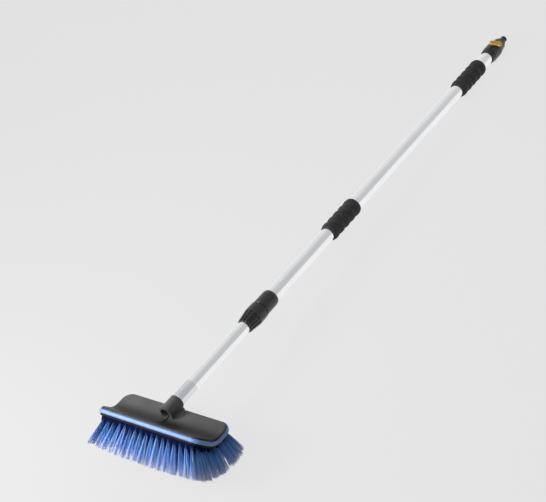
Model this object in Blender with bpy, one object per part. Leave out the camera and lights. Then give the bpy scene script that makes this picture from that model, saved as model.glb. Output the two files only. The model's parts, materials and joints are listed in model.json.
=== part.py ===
"""Telescopic water-fed wash brush, lying at rest on its rear bristles and its valve.

The head plate is bent, with a flat front section and a rear section that ramps up. The pole
socket lies along the ramp, so the pole, the ramp and the socket share one direction.
World axes: +X along the head, +Y from the head to the hose end, +Z up.
"""
from math import asin, cos, pi, radians, sin, sqrt

import bmesh
import bpy
from mathutils import Matrix, Vector

MM = 0.001
GAP = 0.3 * MM

# Head plate, measured on the outside of the bumper strip
HEAD_HALF_LENGTH = 114.6 * MM
HEAD_ARC_WIDTH = 85.0 * MM
CORNER_RADIUS = 20.0 * MM
FLAT_WIDTH = 29.3 * MM
BEND_RADIUS = 30.3 * MM
BEND_ANGLE = radians(49)
CORNER_STEPS = 5
BEND_STEPS = 5
EDGE_STEPS = 2

# Heights on the plate's normal, from the joint between the shell and the bristle block
SHELL_TOP = 6.0 * MM
CHAMBER_TOP = 3.5 * MM
STRIP_TOP = 2.6 * MM
STRIP_BOTTOM = -4.2 * MM
STRIP_RIB_HALF_HEIGHT = 1.0 * MM
JOINT_HALF_GAP = STRIP_RIB_HALF_HEIGHT + GAP
BLOCK_BOTTOM = -8.2 * MM
EDGE_RADIUS = 1.0 * MM

# Distances in from the outside of the bumper strip
STRIP_THICKNESS = 2.5 * MM
SHELL_INSET = STRIP_THICKNESS + GAP
STRIP_RIB_INSET = 6.8 * MM
CHAMBER_INSET = 8.8 * MM

# Bristle rows: stations are arc lengths from the front edge
ROW_STATIONS = [8 * MM, 22 * MM, 36 * MM, 50 * MM, 64 * MM, 77 * MM]
ROW_LEANS = [radians(angle) for angle in (4, 13, 11, -3, -1, 5)]
ROW_FANS = [radians(angle) for angle in (34, 30, 26, 24, 24, 24)]
ROW_TIPS = [-63 * MM, -60 * MM, -59 * MM, -59 * MM, -59 * MM, -59 * MM]
ROW_END_MARGIN = 7.5 * MM
TUFT_PITCH = 11.4 * MM
TUFT_TIP_GAP = 0.8 * MM
END_FAN_SHARE = 0.45
ROW_WEB_BOTTOM = BLOCK_BOTTOM - 5.0 * MM
ROW_ROOT_THICKNESS = 3.2 * MM
ROW_TIP_THICKNESS = 5.8 * MM
GROOVE_TOP = BLOCK_BOTTOM + 3.1 * MM
GROOVE_WIDTH = 4.8 * MM
GROOVE_OVERRUN = 2.0 * MM

# Screws and water outlets in the bristle block
SCREW_STATIONS = [15 * MM, 70.5 * MM]
SCREW_OFFSETS = [-80 * MM, 0.0, 80 * MM]
SCREW_SHANK_RADIUS = 1.5 * MM
SCREW_HEAD_RADIUS = 2.9 * MM
SCREW_HEAD_TOP = -5.2 * MM
SCREW_HEAD_BOTTOM = -7.6 * MM
SCREW_TIP = 2.5 * MM
SCREW_SOCKET_RADIUS = 1.3 * MM
SCREW_SOCKET_DEPTH = 1.2 * MM
BOSS_RADIUS = 3.4 * MM
PILOT_DEPTH = 2.9 * MM
OUTLET_STATIONS = [29 * MM, 57 * MM]
OUTLET_OFFSETS = [-80 * MM, -40 * MM, 0.0, 40 * MM, 80 * MM]
OUTLET_RADIUS = 1.5 * MM

# Pole: positions are distances along its axis from the plane of the flat front section
AXIS_START = 22.7 * MM
TURNED_STEPS = 20
SMALL_STEPS = 10
SOCKET_RADIUS = 12.8 * MM
SOCKET_BORE_RADIUS = 9.3 * MM
SOCKET_BOTTOM = 28.0 * MM
SOCKET_POCKET_TOP = 36.0 * MM
SOCKET_BORE_BOTTOM = 40.0 * MM
RIB_TOP = 8.3 * MM
RIB_THICKNESS = 2.8 * MM
SOCKET_TOP = 59.0 * MM
PASSAGE_RADIUS = 4.0 * MM
PASSAGE_POSITION = 44.6 * MM
SPIGOT_RADIUS = 9.0 * MM
SPIGOT_START = 50.0 * MM
FERRULE_RADIUS = 12.2 * MM
FERRULE_END = 97.0 * MM
INNER_TUBE_RADIUS = 11.0 * MM
INNER_TUBE_BORE = 10.0 * MM
INNER_TUBE_START = 66.0 * MM
INNER_TUBE_END = 834.0 * MM
PISTON_RADIUS = 11.2 * MM
PISTON_END = 856.0 * MM
PISTON_PLUG_LENGTH = 14.0 * MM
OUTER_TUBE_RADIUS = 12.5 * MM
OUTER_TUBE_BORE = 11.5 * MM
OUTER_TUBE_START = 264.0 * MM
OUTER_TUBE_END = 1074.0 * MM
WATER_BORE = 6.0 * MM

# Twist lock
NUT_START = 244.3 * MM
NUT_END = 289.5 * MM
NUT_RIBS = 12
NUT_RIB_HEIGHT = 1.2 * MM
NUT_MOUTH_RADIUS = 11.4 * MM
NUT_RIM_RADIUS = 12.2 * MM
NUT_BAND_RADIUS = 17.5 * MM
NUT_BAND_START = 271.0 * MM
COLLET_START = 250.0 * MM
COLLET_END = 261.0 * MM
COLLET_START_RADIUS = 12.1 * MM
COLLET_END_RADIUS = 13.4 * MM
COLLET_SLOT = 2.5 * MM
COLLAR_RADIUS = 16.0 * MM
COLLAR_START = 290.0 * MM
COLLAR_END = 325.0 * MM
COLLAR_DOME_LENGTH = 9.0 * MM
COLLAR_DOME_DROP = 2.4 * MM
DOME_STEPS = 4
THREAD_RADIUS = 14.4 * MM
THREAD_ROOT = 13.8 * MM
THREAD_PITCH = 4.0 * MM
THREAD_SPACING = 8.0 * MM
THREAD_TURNS = 3

# Foam grips
GRIP_STARTS = {"lower_grip": 498 * MM, "upper_grip": 947.5 * MM}
GRIP_LENGTH = 84.5 * MM
GRIP_RIBS = 5
GRIP_RIB_STEPS = 4
GRIP_RIB_FULLNESS = 0.6
GRIP_RADIUS = 16.75 * MM
GRIP_VALLEY_RADIUS = 15.3 * MM

# Shut-off valve and hose nipple
VALVE_START = 1062.0 * MM
VALVE_SHOULDER = 1091.5 * MM
VALVE_END = 1113.5 * MM
VALVE_RADIUS = 16.0 * MM
BALL_POSITION = 1093.5 * MM
BALL_RADIUS = 8.5 * MM
BALL_BORE_RADIUS = 4.5 * MM
BALL_STEPS = 6
CHAMBER_RADIUS = 9.3 * MM
SEAT_BORE = 5.0 * MM
SEAT_RIM_RADIUS = 7.2 * MM
SEAT_BACK = 13.6 * MM
STEM_RADIUS = 3.4 * MM
STEM_START = 9.2 * MM
STEM_END = 16.6 * MM
STEM_SQUARE = 4.4 * MM
TANG_WIDTH = 1.8 * MM
TANG_LENGTH = 5.0 * MM
TANG_START = 7.2 * MM
LEVER_START = 17.0 * MM
LEVER_HUB_RADIUS = 5.8 * MM
LEVER_HUB_HEIGHT = 4.2 * MM
LEVER_ARM_LENGTH = 21.5 * MM
LEVER_ARM_WIDTH = 8.0 * MM
LEVER_REST_ANGLE = radians(47)
NIPPLE_START = BALL_POSITION + SEAT_BACK + GAP
NIPPLE_END = 1131.5 * MM
NIPPLE_BORE = 3.5 * MM
NIPPLE_FLANGE_RADIUS = 8.4 * MM
NIPPLE_NECK_RADIUS = 5.4 * MM
NIPPLE_TIP_RADIUS = 6.2 * MM

# Seals
O_RING_RADIUS = 0.55 * MM
SEAL_GROOVE_DEPTH = 1.4 * MM
SEAL_GROOVE_HALF_WIDTH = 0.95 * MM
RING_STEPS = 6

# At rest the rear bristle tips and the valve body touch the ground
REAR_TIP_DROP = 74.3 * MM
REAR_TIP_POSITION = 52.0 * MM
POLE_SLOPE = asin((REAR_TIP_DROP - VALVE_RADIUS) / (VALVE_SHOULDER - REAR_TIP_POSITION))


def clear_scene():
    for old in list(bpy.data.objects):
        bpy.data.objects.remove(old, do_unlink=True)


def material(name, colour, roughness, metallic=0.0):
    made = bpy.data.materials.new(name)
    made.use_nodes = True
    shader = made.node_tree.nodes["Principled BSDF"]
    shader.inputs["Base Color"].default_value = (*colour, 1.0)
    shader.inputs["Roughness"].default_value = roughness
    shader.inputs["Metallic"].default_value = metallic
    return made


def make_empty(name, parent=None, matrix=None):
    empty = bpy.data.objects.new(name, None)
    bpy.context.scene.collection.objects.link(empty)
    empty.parent = parent
    if matrix is not None:
        empty.matrix_local = matrix
    return empty


def make_object(name, mesh_data, parent, finish=None, smooth_angle=35):
    mesh = bpy.data.meshes.new(name)
    bmesh.ops.recalc_face_normals(mesh_data, faces=mesh_data.faces)
    mesh_data.to_mesh(mesh)
    mesh_data.free()
    mesh.shade_smooth()
    mesh.set_sharp_from_angle(angle=radians(smooth_angle))
    if finish is not None:
        mesh.materials.append(finish)
    made = bpy.data.objects.new(name, mesh)
    bpy.context.scene.collection.objects.link(made)
    made.parent = parent
    return made


def boolean(target, helper, operation="DIFFERENCE"):
    helper.hide_render = True
    helper.display_type = "WIRE"
    step = target.modifiers.new(helper.name, "BOOLEAN")
    step.operation = operation
    step.solver = "EXACT"
    step.object = helper


def bevel(target, width):
    step = target.modifiers.new("rounded_edges", "BEVEL")
    step.width = width
    step.segments = 2
    step.limit_method = "ANGLE"
    step.angle_limit = radians(40)


# ---------------------------------------------------------------- bent head plate


def plate_frame(station):
    """Y, Z and slope angle of the plate's middle surface at an arc length."""
    bend_length = BEND_RADIUS * BEND_ANGLE
    angle = min(max(station - FLAT_WIDTH, 0.0) / BEND_RADIUS, BEND_ANGLE)
    along = min(station, FLAT_WIDTH)
    past = max(station - FLAT_WIDTH - bend_length, 0.0)
    y = along + BEND_RADIUS * sin(angle) + past * cos(angle)
    z = BEND_RADIUS * (1.0 - cos(angle)) + past * sin(angle)
    return y, z, angle


def plate_point(x, station, height):
    y, z, angle = plate_frame(station)
    return Vector((x, y - height * sin(angle), z + height * cos(angle)))


def plate_matrix(x, station, height=0.0, lean=0.0):
    """Local Z along the plate's normal, which a lean tips towards the front or the back."""
    angle = plate_frame(station)[2]
    return Matrix.Translation(plate_point(x, station, height)) @ Matrix.Rotation(angle + lean, 4, "X")


def outline_half_length(station, inset):
    radius = CORNER_RADIUS - inset
    half = HEAD_HALF_LENGTH - inset
    edge = min(station, HEAD_ARC_WIDTH - station) - inset
    if edge >= radius:
        return half
    return half - radius + sqrt(max(radius**2 - (radius - edge) ** 2, 0.0))


def half_outline(inset, is_cutter):
    """Points (x, station) of the outline's +X half, from the front edge to the rear edge.

    A cutter's bend is divided at other stations than its target's, so that no edges coincide.
    """
    radius = CORNER_RADIUS - inset
    centre_x = HEAD_HALF_LENGTH - CORNER_RADIUS
    front = []
    for step in range(CORNER_STEPS + 1):
        angle = step * pi / 2 / CORNER_STEPS
        front.append((centre_x + radius * sin(angle), CORNER_RADIUS - radius * cos(angle)))
    bend_length = BEND_RADIUS * BEND_ANGLE
    bend = []
    start = -0.5 if is_cutter else 0
    for step in range(BEND_STEPS + (2 if is_cutter else 1)):
        bend.append((centre_x + radius, FLAT_WIDTH + bend_length * (start + step) / BEND_STEPS))
    rear = [(x, HEAD_ARC_WIDTH - station) for x, station in reversed(front)]
    return front + bend + rear


def make_plate(name, parent, inset, low, high, finish=None, edge=0.0, is_cutter=False):
    """A solid that follows the bent plate between two heights, inside a rounded outline."""
    levels = [(inset, low), (inset, high)]
    if edge > 0.0:
        bottom = []
        for step in range(EDGE_STEPS + 1):
            angle = step * pi / 2 / EDGE_STEPS
            bottom.append((inset + edge * (1 - sin(angle)), low + edge * (1 - cos(angle))))
        top = [(level_inset, high + low - height) for level_inset, height in reversed(bottom)]
        levels = bottom + top
    mesh = bmesh.new()
    rings = []
    for level_inset, height in levels:
        outline = half_outline(level_inset, is_cutter)
        right = [mesh.verts.new(plate_point(x, station, height)) for x, station in outline]
        left = [mesh.verts.new(plate_point(-x, station, height)) for x, station in outline]
        rings.append((right, left))
    for right, left in (rings[0], rings[-1]):
        for index in range(len(right) - 1):
            mesh.faces.new((right[index], right[index + 1], left[index + 1], left[index]))
    for (low_right, low_left), (high_right, high_left) in zip(rings, rings[1:]):
        low_ring = low_right + low_left[::-1]
        high_ring = high_right + high_left[::-1]
        for index in range(len(low_ring)):
            after = (index + 1) % len(low_ring)
            mesh.faces.new((low_ring[index], low_ring[after], high_ring[after], high_ring[index]))
    return make_object(name, mesh, parent, finish)


# ---------------------------------------------------------------- basic solids


def make_turned(name, parent, profile, steps=TURNED_STEPS, finish=None, is_ring=True, ribbed=()):
    """Turn a profile of (radius, position) points about local Z.

    A ring's profile is closed, and any other shape is capped at its first and last points.
    The ribbed points stand out by the nut's rib height in two facets out of every four.
    """
    mesh = bmesh.new()
    rings = []
    for radius, position in profile:
        ring = []
        for step in range(steps):
            angle = 2 * pi * step / steps
            is_rib = (radius, position) in ribbed and step % 4 in (1, 2)
            reach = radius + NUT_RIB_HEIGHT if is_rib else radius
            ring.append(mesh.verts.new((reach * cos(angle), reach * sin(angle), position)))
        rings.append(ring)
    pairs = list(zip(rings, rings[1:]))
    if is_ring:
        pairs.append((rings[-1], rings[0]))
    else:
        mesh.faces.new(rings[0])
        mesh.faces.new(rings[-1])
    for lower, upper in pairs:
        for step in range(steps):
            after = (step + 1) % steps
            mesh.faces.new((lower[step], lower[after], upper[after], upper[step]))
    return make_object(name, mesh, parent, finish)


def make_cylinder(name, parent, radius, low, high, steps=SMALL_STEPS, finish=None):
    return make_turned(name, parent, [(radius, low), (radius, high)], steps, finish, is_ring=False)


def make_box(name, parent, low, high, finish=None):
    mesh = bmesh.new()
    bmesh.ops.create_cube(mesh, size=1.0)
    size = Vector(high) - Vector(low)
    middle = (Vector(high) + Vector(low)) / 2
    bmesh.ops.scale(mesh, vec=size, verts=mesh.verts)
    bmesh.ops.translate(mesh, vec=middle, verts=mesh.verts)
    return make_object(name, mesh, parent, finish)


def make_extruded(name, parent, outline, half_width, finish=None):
    """Extrude a closed (y, z) outline to both sides of x = 0."""
    mesh = bmesh.new()
    near = [mesh.verts.new((-half_width, y, z)) for y, z in outline]
    far = [mesh.verts.new((half_width, y, z)) for y, z in outline]
    mesh.faces.new(near)
    mesh.faces.new(list(reversed(far)))
    for index in range(len(outline)):
        after = (index + 1) % len(outline)
        mesh.faces.new((near[index], far[index], far[after], near[after]))
    return make_object(name, mesh, parent, finish)


def o_ring(name, parent, outer_radius, position, finish, steps=TURNED_STEPS):
    """A seal that sits in a seal groove, flush with the surface round it."""
    centre = outer_radius - (SEAL_GROOVE_DEPTH - GAP) / 2
    profile = []
    for step in range(RING_STEPS):
        angle = 2 * pi * (step + 0.5) / RING_STEPS
        profile.append((centre + O_RING_RADIUS * cos(angle), position + O_RING_RADIUS * sin(angle)))
    return make_turned(name, parent, profile, steps, finish)


# ---------------------------------------------------------------- brush head


def make_gusset_rib(head):
    """A web in front of the socket, whose top edge runs parallel to the pole down to the plate."""
    along = Vector((cos(BEND_ANGLE), sin(BEND_ANGLE)))
    above = Vector((-sin(BEND_ANGLE), cos(BEND_ANGLE)))
    start = Vector((AXIS_START, 0.0))
    inside = SOCKET_POCKET_TOP + 2 * MM
    top = start + along * inside + above * RIB_TOP
    behind = start + along * inside - above * (SOCKET_BORE_RADIUS + MM)
    front = start + along * (SHELL_TOP - RIB_TOP * cos(BEND_ANGLE)) / sin(BEND_ANGLE) + above * RIB_TOP
    outline = [tuple(behind), tuple(top), tuple(front)]
    for step in range(BEND_STEPS + 1):
        station = front.x + (FLAT_WIDTH + BEND_RADIUS * BEND_ANGLE - front.x) * step / BEND_STEPS
        foot = plate_point(0.0, station, CHAMBER_TOP + MM)
        outline.append((foot.y, foot.z))
    return make_extruded("centre_rib", head, outline, RIB_THICKNESS / 2)


def build_head_shell(head, pole, finish):
    shell = make_plate("head_shell", head, SHELL_INSET, JOINT_HALF_GAP, SHELL_TOP, finish, EDGE_RADIUS)

    barrel = make_cylinder("socket_barrel", pole, SOCKET_RADIUS, SOCKET_BOTTOM, SOCKET_TOP, TURNED_STEPS)
    pocket = (SOCKET_BORE_RADIUS, SOCKET_BOTTOM - MM, SOCKET_POCKET_TOP, TURNED_STEPS)
    boolean(barrel, make_cylinder("socket_pocket", pole, *pocket))
    clearance = make_plate("strip_clearance", head, -MM, STRIP_BOTTOM - GAP, STRIP_TOP + GAP, is_cutter=True)
    boolean(barrel, clearance)
    boolean(shell, barrel, "UNION")
    boolean(shell, make_gusset_rib(head), "UNION")
    chamber = make_plate("chamber", head, CHAMBER_INSET, -MM, CHAMBER_TOP, is_cutter=True)
    for name, x, station in screw_places():
        boss = make_cylinder(f"boss_{name}", head, BOSS_RADIUS, -3 * MM, SHELL_TOP)
        boss.matrix_local = plate_matrix(x, station)
        boolean(chamber, boss)
    boolean(shell, chamber)
    for name, x, station in screw_places():
        pilot = make_cylinder(f"pilot_{name}", head, SCREW_SHANK_RADIUS + GAP, -3 * MM, PILOT_DEPTH)
        pilot.matrix_local = plate_matrix(x, station)
        boolean(shell, pilot)

    bore = (SOCKET_BORE_RADIUS, SOCKET_BORE_BOTTOM, SOCKET_TOP + MM, TURNED_STEPS)
    boolean(shell, make_cylinder("socket_bore", pole, *bore))
    passage = make_cylinder("water_passage", pole, PASSAGE_RADIUS, 0.0, SOCKET_RADIUS + MM)
    passage.matrix_local = Matrix.Translation((0, 0, PASSAGE_POSITION)) @ Matrix.Rotation(-pi / 2, 4, "X")
    boolean(shell, passage)
    return shell


def screw_places():
    places = []
    for row, station in enumerate(SCREW_STATIONS):
        for column, x in enumerate(SCREW_OFFSETS):
            places.append((f"{row * len(SCREW_OFFSETS) + column + 1}", x, station))
    return places


def build_bumper_strip(head, finish):
    strip = make_plate("bumper_strip", head, 0.0, STRIP_BOTTOM, STRIP_TOP, finish, EDGE_RADIUS)
    cuts = [
        ("strip_upper_cut", STRIP_THICKNESS, STRIP_RIB_HALF_HEIGHT, STRIP_TOP + MM),
        ("strip_lower_cut", STRIP_THICKNESS, STRIP_BOTTOM - MM, -STRIP_RIB_HALF_HEIGHT),
        ("strip_middle_cut", STRIP_RIB_INSET, -2 * STRIP_RIB_HALF_HEIGHT, 2 * STRIP_RIB_HALF_HEIGHT),
    ]
    for name, inset, low, high in cuts:
        boolean(strip, make_plate(name, head, inset, low, high, is_cutter=True))


def build_bristle_block(head, finish):
    block = make_plate("bristle_block", head, SHELL_INSET, BLOCK_BOTTOM, -JOINT_HALF_GAP, finish, EDGE_RADIUS)
    for number, (station, lean) in enumerate(zip(ROW_STATIONS, ROW_LEANS), start=1):
        half = row_half_length(station) + GAP
        low = (-half, -GROOVE_WIDTH / 2, -GROOVE_OVERRUN)
        high = (half, GROOVE_WIDTH / 2, GROOVE_TOP - BLOCK_BOTTOM)
        groove = make_box(f"groove_{number}", head, low, high)
        groove.matrix_local = plate_matrix(0.0, station, BLOCK_BOTTOM, lean)
        boolean(block, groove)
    for name, x, station in screw_places():
        pad = make_cylinder(f"pad_{name}", head, BOSS_RADIUS, -2 * MM, STRIP_RIB_HALF_HEIGHT)
        pad.matrix_local = plate_matrix(x, station)
        boolean(block, pad, "UNION")
        shank = make_cylinder(f"shank_hole_{name}", head, SCREW_SHANK_RADIUS + GAP, BLOCK_BOTTOM - MM, 2 * MM)
        shank.matrix_local = plate_matrix(x, station)
        boolean(block, shank)
        recess_top = SCREW_HEAD_TOP + GAP
        recess = make_cylinder(f"recess_{name}", head, SCREW_HEAD_RADIUS + GAP, BLOCK_BOTTOM - MM, recess_top)
        recess.matrix_local = plate_matrix(x, station)
        boolean(block, recess)
    for row, station in enumerate(OUTLET_STATIONS):
        for column, x in enumerate(OUTLET_OFFSETS):
            outlet = make_cylinder(f"outlet_{row}_{column}", head, OUTLET_RADIUS, BLOCK_BOTTOM - MM, 0.0, 8)
            outlet.matrix_local = plate_matrix(x, station)
            boolean(block, outlet)


def build_screws(head, finish):
    socket_top = SCREW_HEAD_BOTTOM + SCREW_SOCKET_DEPTH
    profile = [
        (SCREW_SHANK_RADIUS - 0.8 * MM, SCREW_TIP),
        (SCREW_SHANK_RADIUS, SCREW_TIP - MM),
        (SCREW_SHANK_RADIUS, SCREW_HEAD_TOP),
        (SCREW_HEAD_RADIUS, SCREW_HEAD_TOP),
        (SCREW_HEAD_RADIUS, SCREW_HEAD_BOTTOM + 0.6 * MM),
        (SCREW_HEAD_RADIUS - 0.8 * MM, SCREW_HEAD_BOTTOM),
        (SCREW_SOCKET_RADIUS, SCREW_HEAD_BOTTOM),
        (SCREW_SOCKET_RADIUS, socket_top),
    ]
    for name, x, station in screw_places():
        screw = make_turned(f"head_screw_{name}", head, profile, SMALL_STEPS, finish, is_ring=False)
        screw.matrix_local = plate_matrix(x, station)


def row_half_length(station):
    return outline_half_length(station, SHELL_INSET) - ROW_END_MARGIN


def tip_offset(x, length, fan):
    """How far out a tuft's tip reaches: the tufts fan out, and most strongly at the ends."""
    share = x / HEAD_HALF_LENGTH
    return length * sin(fan * ((1 - END_FAN_SHARE) * share + END_FAN_SHARE * share**3))


def build_bristle_rows(head, finish):
    """Each row is a comb of wedge-shaped tufts that fan out and share a thin web at the root."""
    root = GROOVE_TOP - GAP - BLOCK_BOTTOM
    web = ROW_WEB_BOTTOM - BLOCK_BOTTOM
    rows = zip(ROW_STATIONS, ROW_LEANS, ROW_FANS, ROW_TIPS)
    for number, (station, lean, fan, row_tip) in enumerate(rows, start=1):
        tip = row_tip - BLOCK_BOTTOM
        half = row_half_length(station)
        count = round(2 * half / TUFT_PITCH)
        pitch = 2 * half / count
        edges = [-half + pitch * index for index in range(count + 1)]
        outline = [(edges[-1], root), (edges[0], root), (edges[0], web)]
        for left, right in zip(edges, edges[1:]):
            outline.append((left + tip_offset(left, -tip, fan) + TUFT_TIP_GAP, tip))
            outline.append((right + tip_offset(right, -tip, fan) - TUFT_TIP_GAP, tip))
            outline.append((right, web))
        mesh = bmesh.new()
        sides = []
        for sign in (-1, 1):
            side = []
            for x, height in outline:
                depth = (root - height) / (root - tip)
                thickness = ROW_ROOT_THICKNESS + (ROW_TIP_THICKNESS - ROW_ROOT_THICKNESS) * depth
                side.append(mesh.verts.new((x, sign * thickness / 2, height)))
            sides.append(side)
        mesh.faces.new(sides[0])
        mesh.faces.new(list(reversed(sides[1])))
        for index in range(len(outline)):
            after = (index + 1) % len(outline)
            mesh.faces.new((sides[0][index], sides[1][index], sides[1][after], sides[0][after]))
        row = make_object(f"bristle_row_{number}", mesh, head, finish)
        row.matrix_local = plate_matrix(0.0, station, BLOCK_BOTTOM, lean)


# ---------------------------------------------------------------- pole


def groove_points(radius, depth, middle):
    """Four profile points of a square seal groove in an outer surface."""
    low = middle - SEAL_GROOVE_HALF_WIDTH
    high = middle + SEAL_GROOVE_HALF_WIDTH
    return [(radius, low), (radius - depth, low), (radius - depth, high), (radius, high)]


def build_ferrule(pole, finish, rubber):
    tube_seat = INNER_TUBE_RADIUS + GAP
    ring_position = SPIGOT_START + 4 * MM
    profile = [(WATER_BORE, SPIGOT_START), (SPIGOT_RADIUS, SPIGOT_START)]
    profile += groove_points(SPIGOT_RADIUS, SEAL_GROOVE_DEPTH, ring_position)
    profile += [
        (SPIGOT_RADIUS, SOCKET_TOP + GAP),
        (FERRULE_RADIUS, SOCKET_TOP + GAP),
        (FERRULE_RADIUS, FERRULE_END),
        (tube_seat, FERRULE_END),
        (tube_seat, INNER_TUBE_START - GAP),
        (WATER_BORE, INNER_TUBE_START - GAP),
    ]
    make_turned("ferrule", pole, profile, finish=finish)
    o_ring("ferrule_o_ring", pole, SPIGOT_RADIUS, ring_position, rubber)


def build_tubes(inner, outer, finish):
    inner_profile = [
        (INNER_TUBE_BORE, INNER_TUBE_START),
        (INNER_TUBE_RADIUS, INNER_TUBE_START),
        (INNER_TUBE_RADIUS, INNER_TUBE_END),
        (INNER_TUBE_BORE, INNER_TUBE_END),
    ]
    make_turned("inner_tube", inner, inner_profile, finish=finish)
    outer_profile = [
        (OUTER_TUBE_BORE, OUTER_TUBE_START),
        (OUTER_TUBE_RADIUS, OUTER_TUBE_START),
        (OUTER_TUBE_RADIUS, OUTER_TUBE_END),
        (OUTER_TUBE_BORE, OUTER_TUBE_END),
    ]
    make_turned("outer_tube", outer, outer_profile, finish=finish)


def build_piston(inner, finish, rubber):
    plug_radius = INNER_TUBE_BORE - GAP
    plug_start = INNER_TUBE_END - PISTON_PLUG_LENGTH
    ring_positions = [INNER_TUBE_END + 6 * MM, INNER_TUBE_END + 14 * MM]
    profile = [
        (WATER_BORE, plug_start),
        (plug_radius, plug_start),
        (plug_radius, INNER_TUBE_END + GAP),
        (PISTON_RADIUS, INNER_TUBE_END + GAP),
    ]
    for position in ring_positions:
        profile += groove_points(PISTON_RADIUS, SEAL_GROOVE_DEPTH, position)
    profile += [(PISTON_RADIUS, PISTON_END), (WATER_BORE, PISTON_END)]
    make_turned("piston", inner, profile, finish=finish)
    for number, position in enumerate(ring_positions, start=1):
        o_ring(f"piston_o_ring_{number}", inner, PISTON_RADIUS, position, rubber)


def build_lock_nut(nut_axis, finish):
    """A cone with grip ribs, which run out at its rim and below its smooth band."""
    cone = [(12.8 * MM, NUT_START + 2 * MM), (16.1 * MM, NUT_BAND_START - 4 * MM)]
    inner_cone_start = NUT_START + 4 * MM
    thread_bore = THREAD_RADIUS + 0.5 * MM
    profile = [(NUT_MOUTH_RADIUS, NUT_START), (NUT_RIM_RADIUS, NUT_START)]
    profile += cone
    profile += [
        (NUT_BAND_RADIUS - 0.1 * MM, NUT_BAND_START),
        (NUT_BAND_RADIUS, NUT_BAND_START + 3 * MM),
        (NUT_BAND_RADIUS - 0.3 * MM, NUT_END - MM),
        (NUT_BAND_RADIUS - 1.1 * MM, NUT_END),
        (thread_bore, NUT_END),
        (thread_bore, OUTER_TUBE_START),
        (COLLET_END_RADIUS - MM, inner_cone_start),
        (NUT_MOUTH_RADIUS, inner_cone_start),
    ]
    make_turned("lock_nut", nut_axis, profile, 4 * NUT_RIBS, finish, ribbed=cone)


def build_collet(collet_axis, finish):
    """A split cone on the inner tube, which the nut's own cone squeezes."""
    collet_bore = INNER_TUBE_RADIUS + GAP
    collet_profile = [
        (collet_bore, COLLET_START),
        (COLLET_START_RADIUS, COLLET_START),
        (COLLET_END_RADIUS, COLLET_END),
        (collet_bore, COLLET_END),
    ]
    collet = make_turned("collet", collet_axis, collet_profile, finish=finish)
    half_slot = COLLET_SLOT / 2
    slot_low = (-half_slot, 0.0, COLLET_START - MM)
    slot_high = (half_slot, COLLAR_RADIUS, COLLET_END + MM)
    boolean(collet, make_box("collet_slot", collet_axis, slot_low, slot_high))


def build_lock_collar(outer, finish):
    """A domed collar on the outer tube, with the thread that the nut turns on."""
    bore = OUTER_TUBE_RADIUS + GAP
    collar_profile = [(bore, OUTER_TUBE_START), (THREAD_ROOT, OUTER_TUBE_START)]
    for turn in range(THREAD_TURNS):
        base = OUTER_TUBE_START + MM + turn * THREAD_SPACING
        collar_profile += [
            (THREAD_ROOT, base),
            (THREAD_RADIUS, base + 0.3 * THREAD_PITCH),
            (THREAD_RADIUS, base + 0.5 * THREAD_PITCH),
            (THREAD_ROOT, base + 0.8 * THREAD_PITCH),
        ]
    collar_profile += [(THREAD_ROOT, COLLAR_START), (COLLAR_RADIUS - MM, COLLAR_START)]
    dome_start = COLLAR_END - COLLAR_DOME_LENGTH
    collar_profile += [(COLLAR_RADIUS, COLLAR_START + MM), (COLLAR_RADIUS, dome_start)]
    for step in range(1, DOME_STEPS + 1):
        angle = step * pi / 2 / DOME_STEPS
        radius = COLLAR_RADIUS - COLLAR_DOME_DROP * (1 - cos(angle))
        collar_profile.append((radius, dome_start + COLLAR_DOME_LENGTH * sin(angle)))
    collar_profile.append((bore, COLLAR_END))
    make_turned("lock_collar", outer, collar_profile, finish=finish)


def build_grips(outer, finish):
    bore = OUTER_TUBE_RADIUS + GAP
    steps = GRIP_RIBS * GRIP_RIB_STEPS
    for name, start in GRIP_STARTS.items():
        profile = [(bore, start)]
        for step in range(steps + 1):
            wave = abs(sin(pi * step / GRIP_RIB_STEPS)) ** GRIP_RIB_FULLNESS
            radius = GRIP_VALLEY_RADIUS + (GRIP_RADIUS - GRIP_VALLEY_RADIUS) * wave
            profile.append((radius, start + GRIP_LENGTH * step / steps))
        profile.append((bore, start + GRIP_LENGTH))
        make_turned(name, outer, profile, finish=finish)


# ---------------------------------------------------------------- valve


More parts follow.
